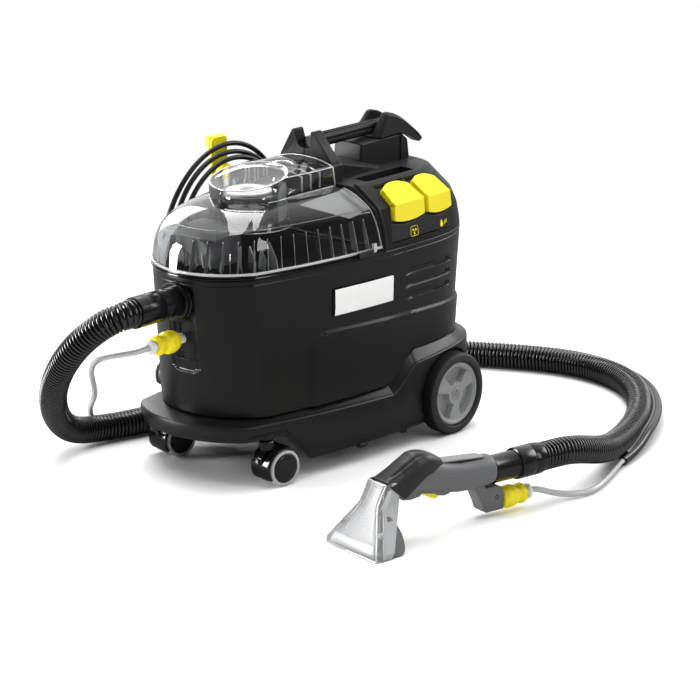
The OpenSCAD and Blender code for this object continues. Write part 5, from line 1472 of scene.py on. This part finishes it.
looks = {"rear_axle": STEEL, "axle_clips": STEEL, "caster_axle_right": STEEL, "caster_axle_left": STEEL,
    "fresh_water_tank": NATURAL, "water_filter": WHITE, "dirty_water_tank": INNER, "float_cage": WHITE,
    "float_ball": WHITE, "handle_screws": STEEL, "vacuum_motor": MOTOR, "turbine_fan": STEEL,
    "motor_gasket": SEAL_AND_SHADE, "pump": MOTOR, "pump_eccentric": STEEL, "pump_hoses": NATURAL,
    "spray_valve": GREY, "valve_stem": STEEL, "trigger_pin": STEEL, "lid_seal": SEAL_AND_SHADE, "hose_socket": GLOSS}
for name, ob in NODES.items():
    if ob.hide_render:
        continue
    mat = looks.get(name, BODY)
    ob.data.materials.clear()
    ob.data.materials.append(mat)
    if name in ("dirty_water_tank", "handle_screws", "vacuum_motor", "pump", "rear_axle"):
        bevelled(ob, 0.5, 2, 40)

# ---------------------------------------------------------------- floor, light and camera

floor_me = bpy.data.meshes.new("floor")
floor_me.from_pydata([(-9, -9, 0), (9, -9, 0), (9, 9, 0), (-9, 9, 0)], [], [(0, 1, 2, 3)])
floor = placed("floor", floor_me)
floor_mat, ft, fb = blank("pale_floor")
for key, value in (("Base Color", (0.93, 0.93, 0.93, 1)), ("Roughness", 0.55), ("Specular IOR Level", 0.15)):
    fb.inputs[key].default_value = value
# far from the object the floor turns into an even white backdrop, and mirrors darker in the glossy parts
pos = node(ft, "ShaderNodeNewGeometry")
length = node(ft, "ShaderNodeVectorMath", operation="LENGTH")
far = node(ft, "ShaderNodeMapRange", interpolation_type="SMOOTHSTEP", From_Min=0.62, From_Max=1.5)
white = node(ft, "ShaderNodeEmission", Color=(1, 1, 1, 1), Strength=1.0)
dark = node(ft, "ShaderNodeBsdfDiffuse", Color=(0.22, 0.22, 0.22, 1))
ray = node(ft, "ShaderNodeLightPath")
fade = node(ft, "ShaderNodeMixShader")
pick = node(ft, "ShaderNodeMixShader")
links(ft, [(pos, "Position", length, 0), (length, "Value", far, "Value"), (far, "Result", fade, "Fac"),
    (fb, 0, fade, 1), (white, 0, fade, 2), (ray, "Is Glossy Ray", pick, "Fac"), (fade, 0, pick, 1),
    (dark, 0, pick, 2), (pick, 0, ft.nodes["Material Output"], 0)])
floor_me.materials.append(floor_mat)

# the sky is bright beyond the object and dark on the camera's side; the camera itself sees plain white
world = bpy.data.worlds.new("studio")
world.use_nodes = True
bpy.context.scene.world = world
wt = world.node_tree
sky = wt.nodes["Background"]
sky.inputs["Color"].default_value = (1, 1, 1, 1)
white = node(wt, "ShaderNodeBackground", Color=(1, 1, 1, 1), Strength=1.0)
ray = node(wt, "ShaderNodeLightPath")
coord = node(wt, "ShaderNodeTexCoord")
ahead = node(wt, "ShaderNodeVectorMath", operation="DOT_PRODUCT")
ahead.inputs[1].default_value = (-0.62, 0.69, 0.37)
fade = node(wt, "ShaderNodeMapRange", interpolation_type="SMOOTHSTEP", From_Min=0.05, From_Max=0.9,
    To_Min=0.07, To_Max=1.0)
pick = node(wt, "ShaderNodeMixShader")
links(wt, [(coord, "Generated", ahead, 0), (ahead, "Value", fade, "Value"),
    (fade, "Result", sky, "Strength"), (ray, "Is Camera Ray", pick, "Fac"), (sky, 0, pick, 1),
    (white, 0, pick, 2), (pick, 0, wt.nodes["World Output"], 0)])


def area(name, at, to, size, power, size_y=None):
    """A rectangular light that the camera doesn't see."""
    light = bpy.data.lights.new(name, "AREA")
    light.shape = "RECTANGLE"
    light.size = size
    light.size_y = size_y or size
    light.energy = power
    ob = placed(name, light)
    ob.location = at
    ob.rotation_euler = (Vector(at) - Vector(to)).to_track_quat("Z", "Y").to_euler()
    ob.visible_camera = False
    return ob


overhead = area("overhead", (0.2, -0.1, 2.7), (0.1, 0, 0.1), 3.2, 84)
overhead.visible_glossy = False
area("top_strip", (-0.5, 0.5, 2.2), (0.05, 0, 0.2), 0.5, 26, 2.6)
area("front_panel", (-1.75, -1.85, 0.75), (0, -0.25, 0.18), 0.75, 84, 1.5)
area("side_panel", (2.6, 0.5, 1.5), (0.1, 0.1, 0.2), 0.5, 14, 1.6)
area("rear_rim", (1.2, 2.5, 1.5), (0, 0.1, 0.3), 1.6, 26, 1.0)
area("left_rim", (-2.3, 0.9, 1.2), (0, 0.1, 0.3), 0.9, 16, 1.4)

cam = bpy.data.cameras.new("camera")
cam.sensor_width = 36
cam.lens = 152.07
cam.clip_end = 60
camera = placed("camera", cam)
az, el = math.radians(41.84), math.radians(15.64)
out = Vector((math.sin(az) * math.cos(el), -math.cos(az) * math.cos(el), math.sin(el)))
right = Vector((math.cos(az), math.sin(az), 0))
up = out.cross(right)
target = Vector((0, 0, 0.2))
camera.location = target + out * 4.055
aim = target + right * 0.0702 - up * 0.0668
camera.rotation_euler = (camera.location - aim).to_track_quat("Z", "Y").to_euler()
bpy.context.scene.camera = camera
bpy.context.scene.view_settings.view_transform = "Standard"
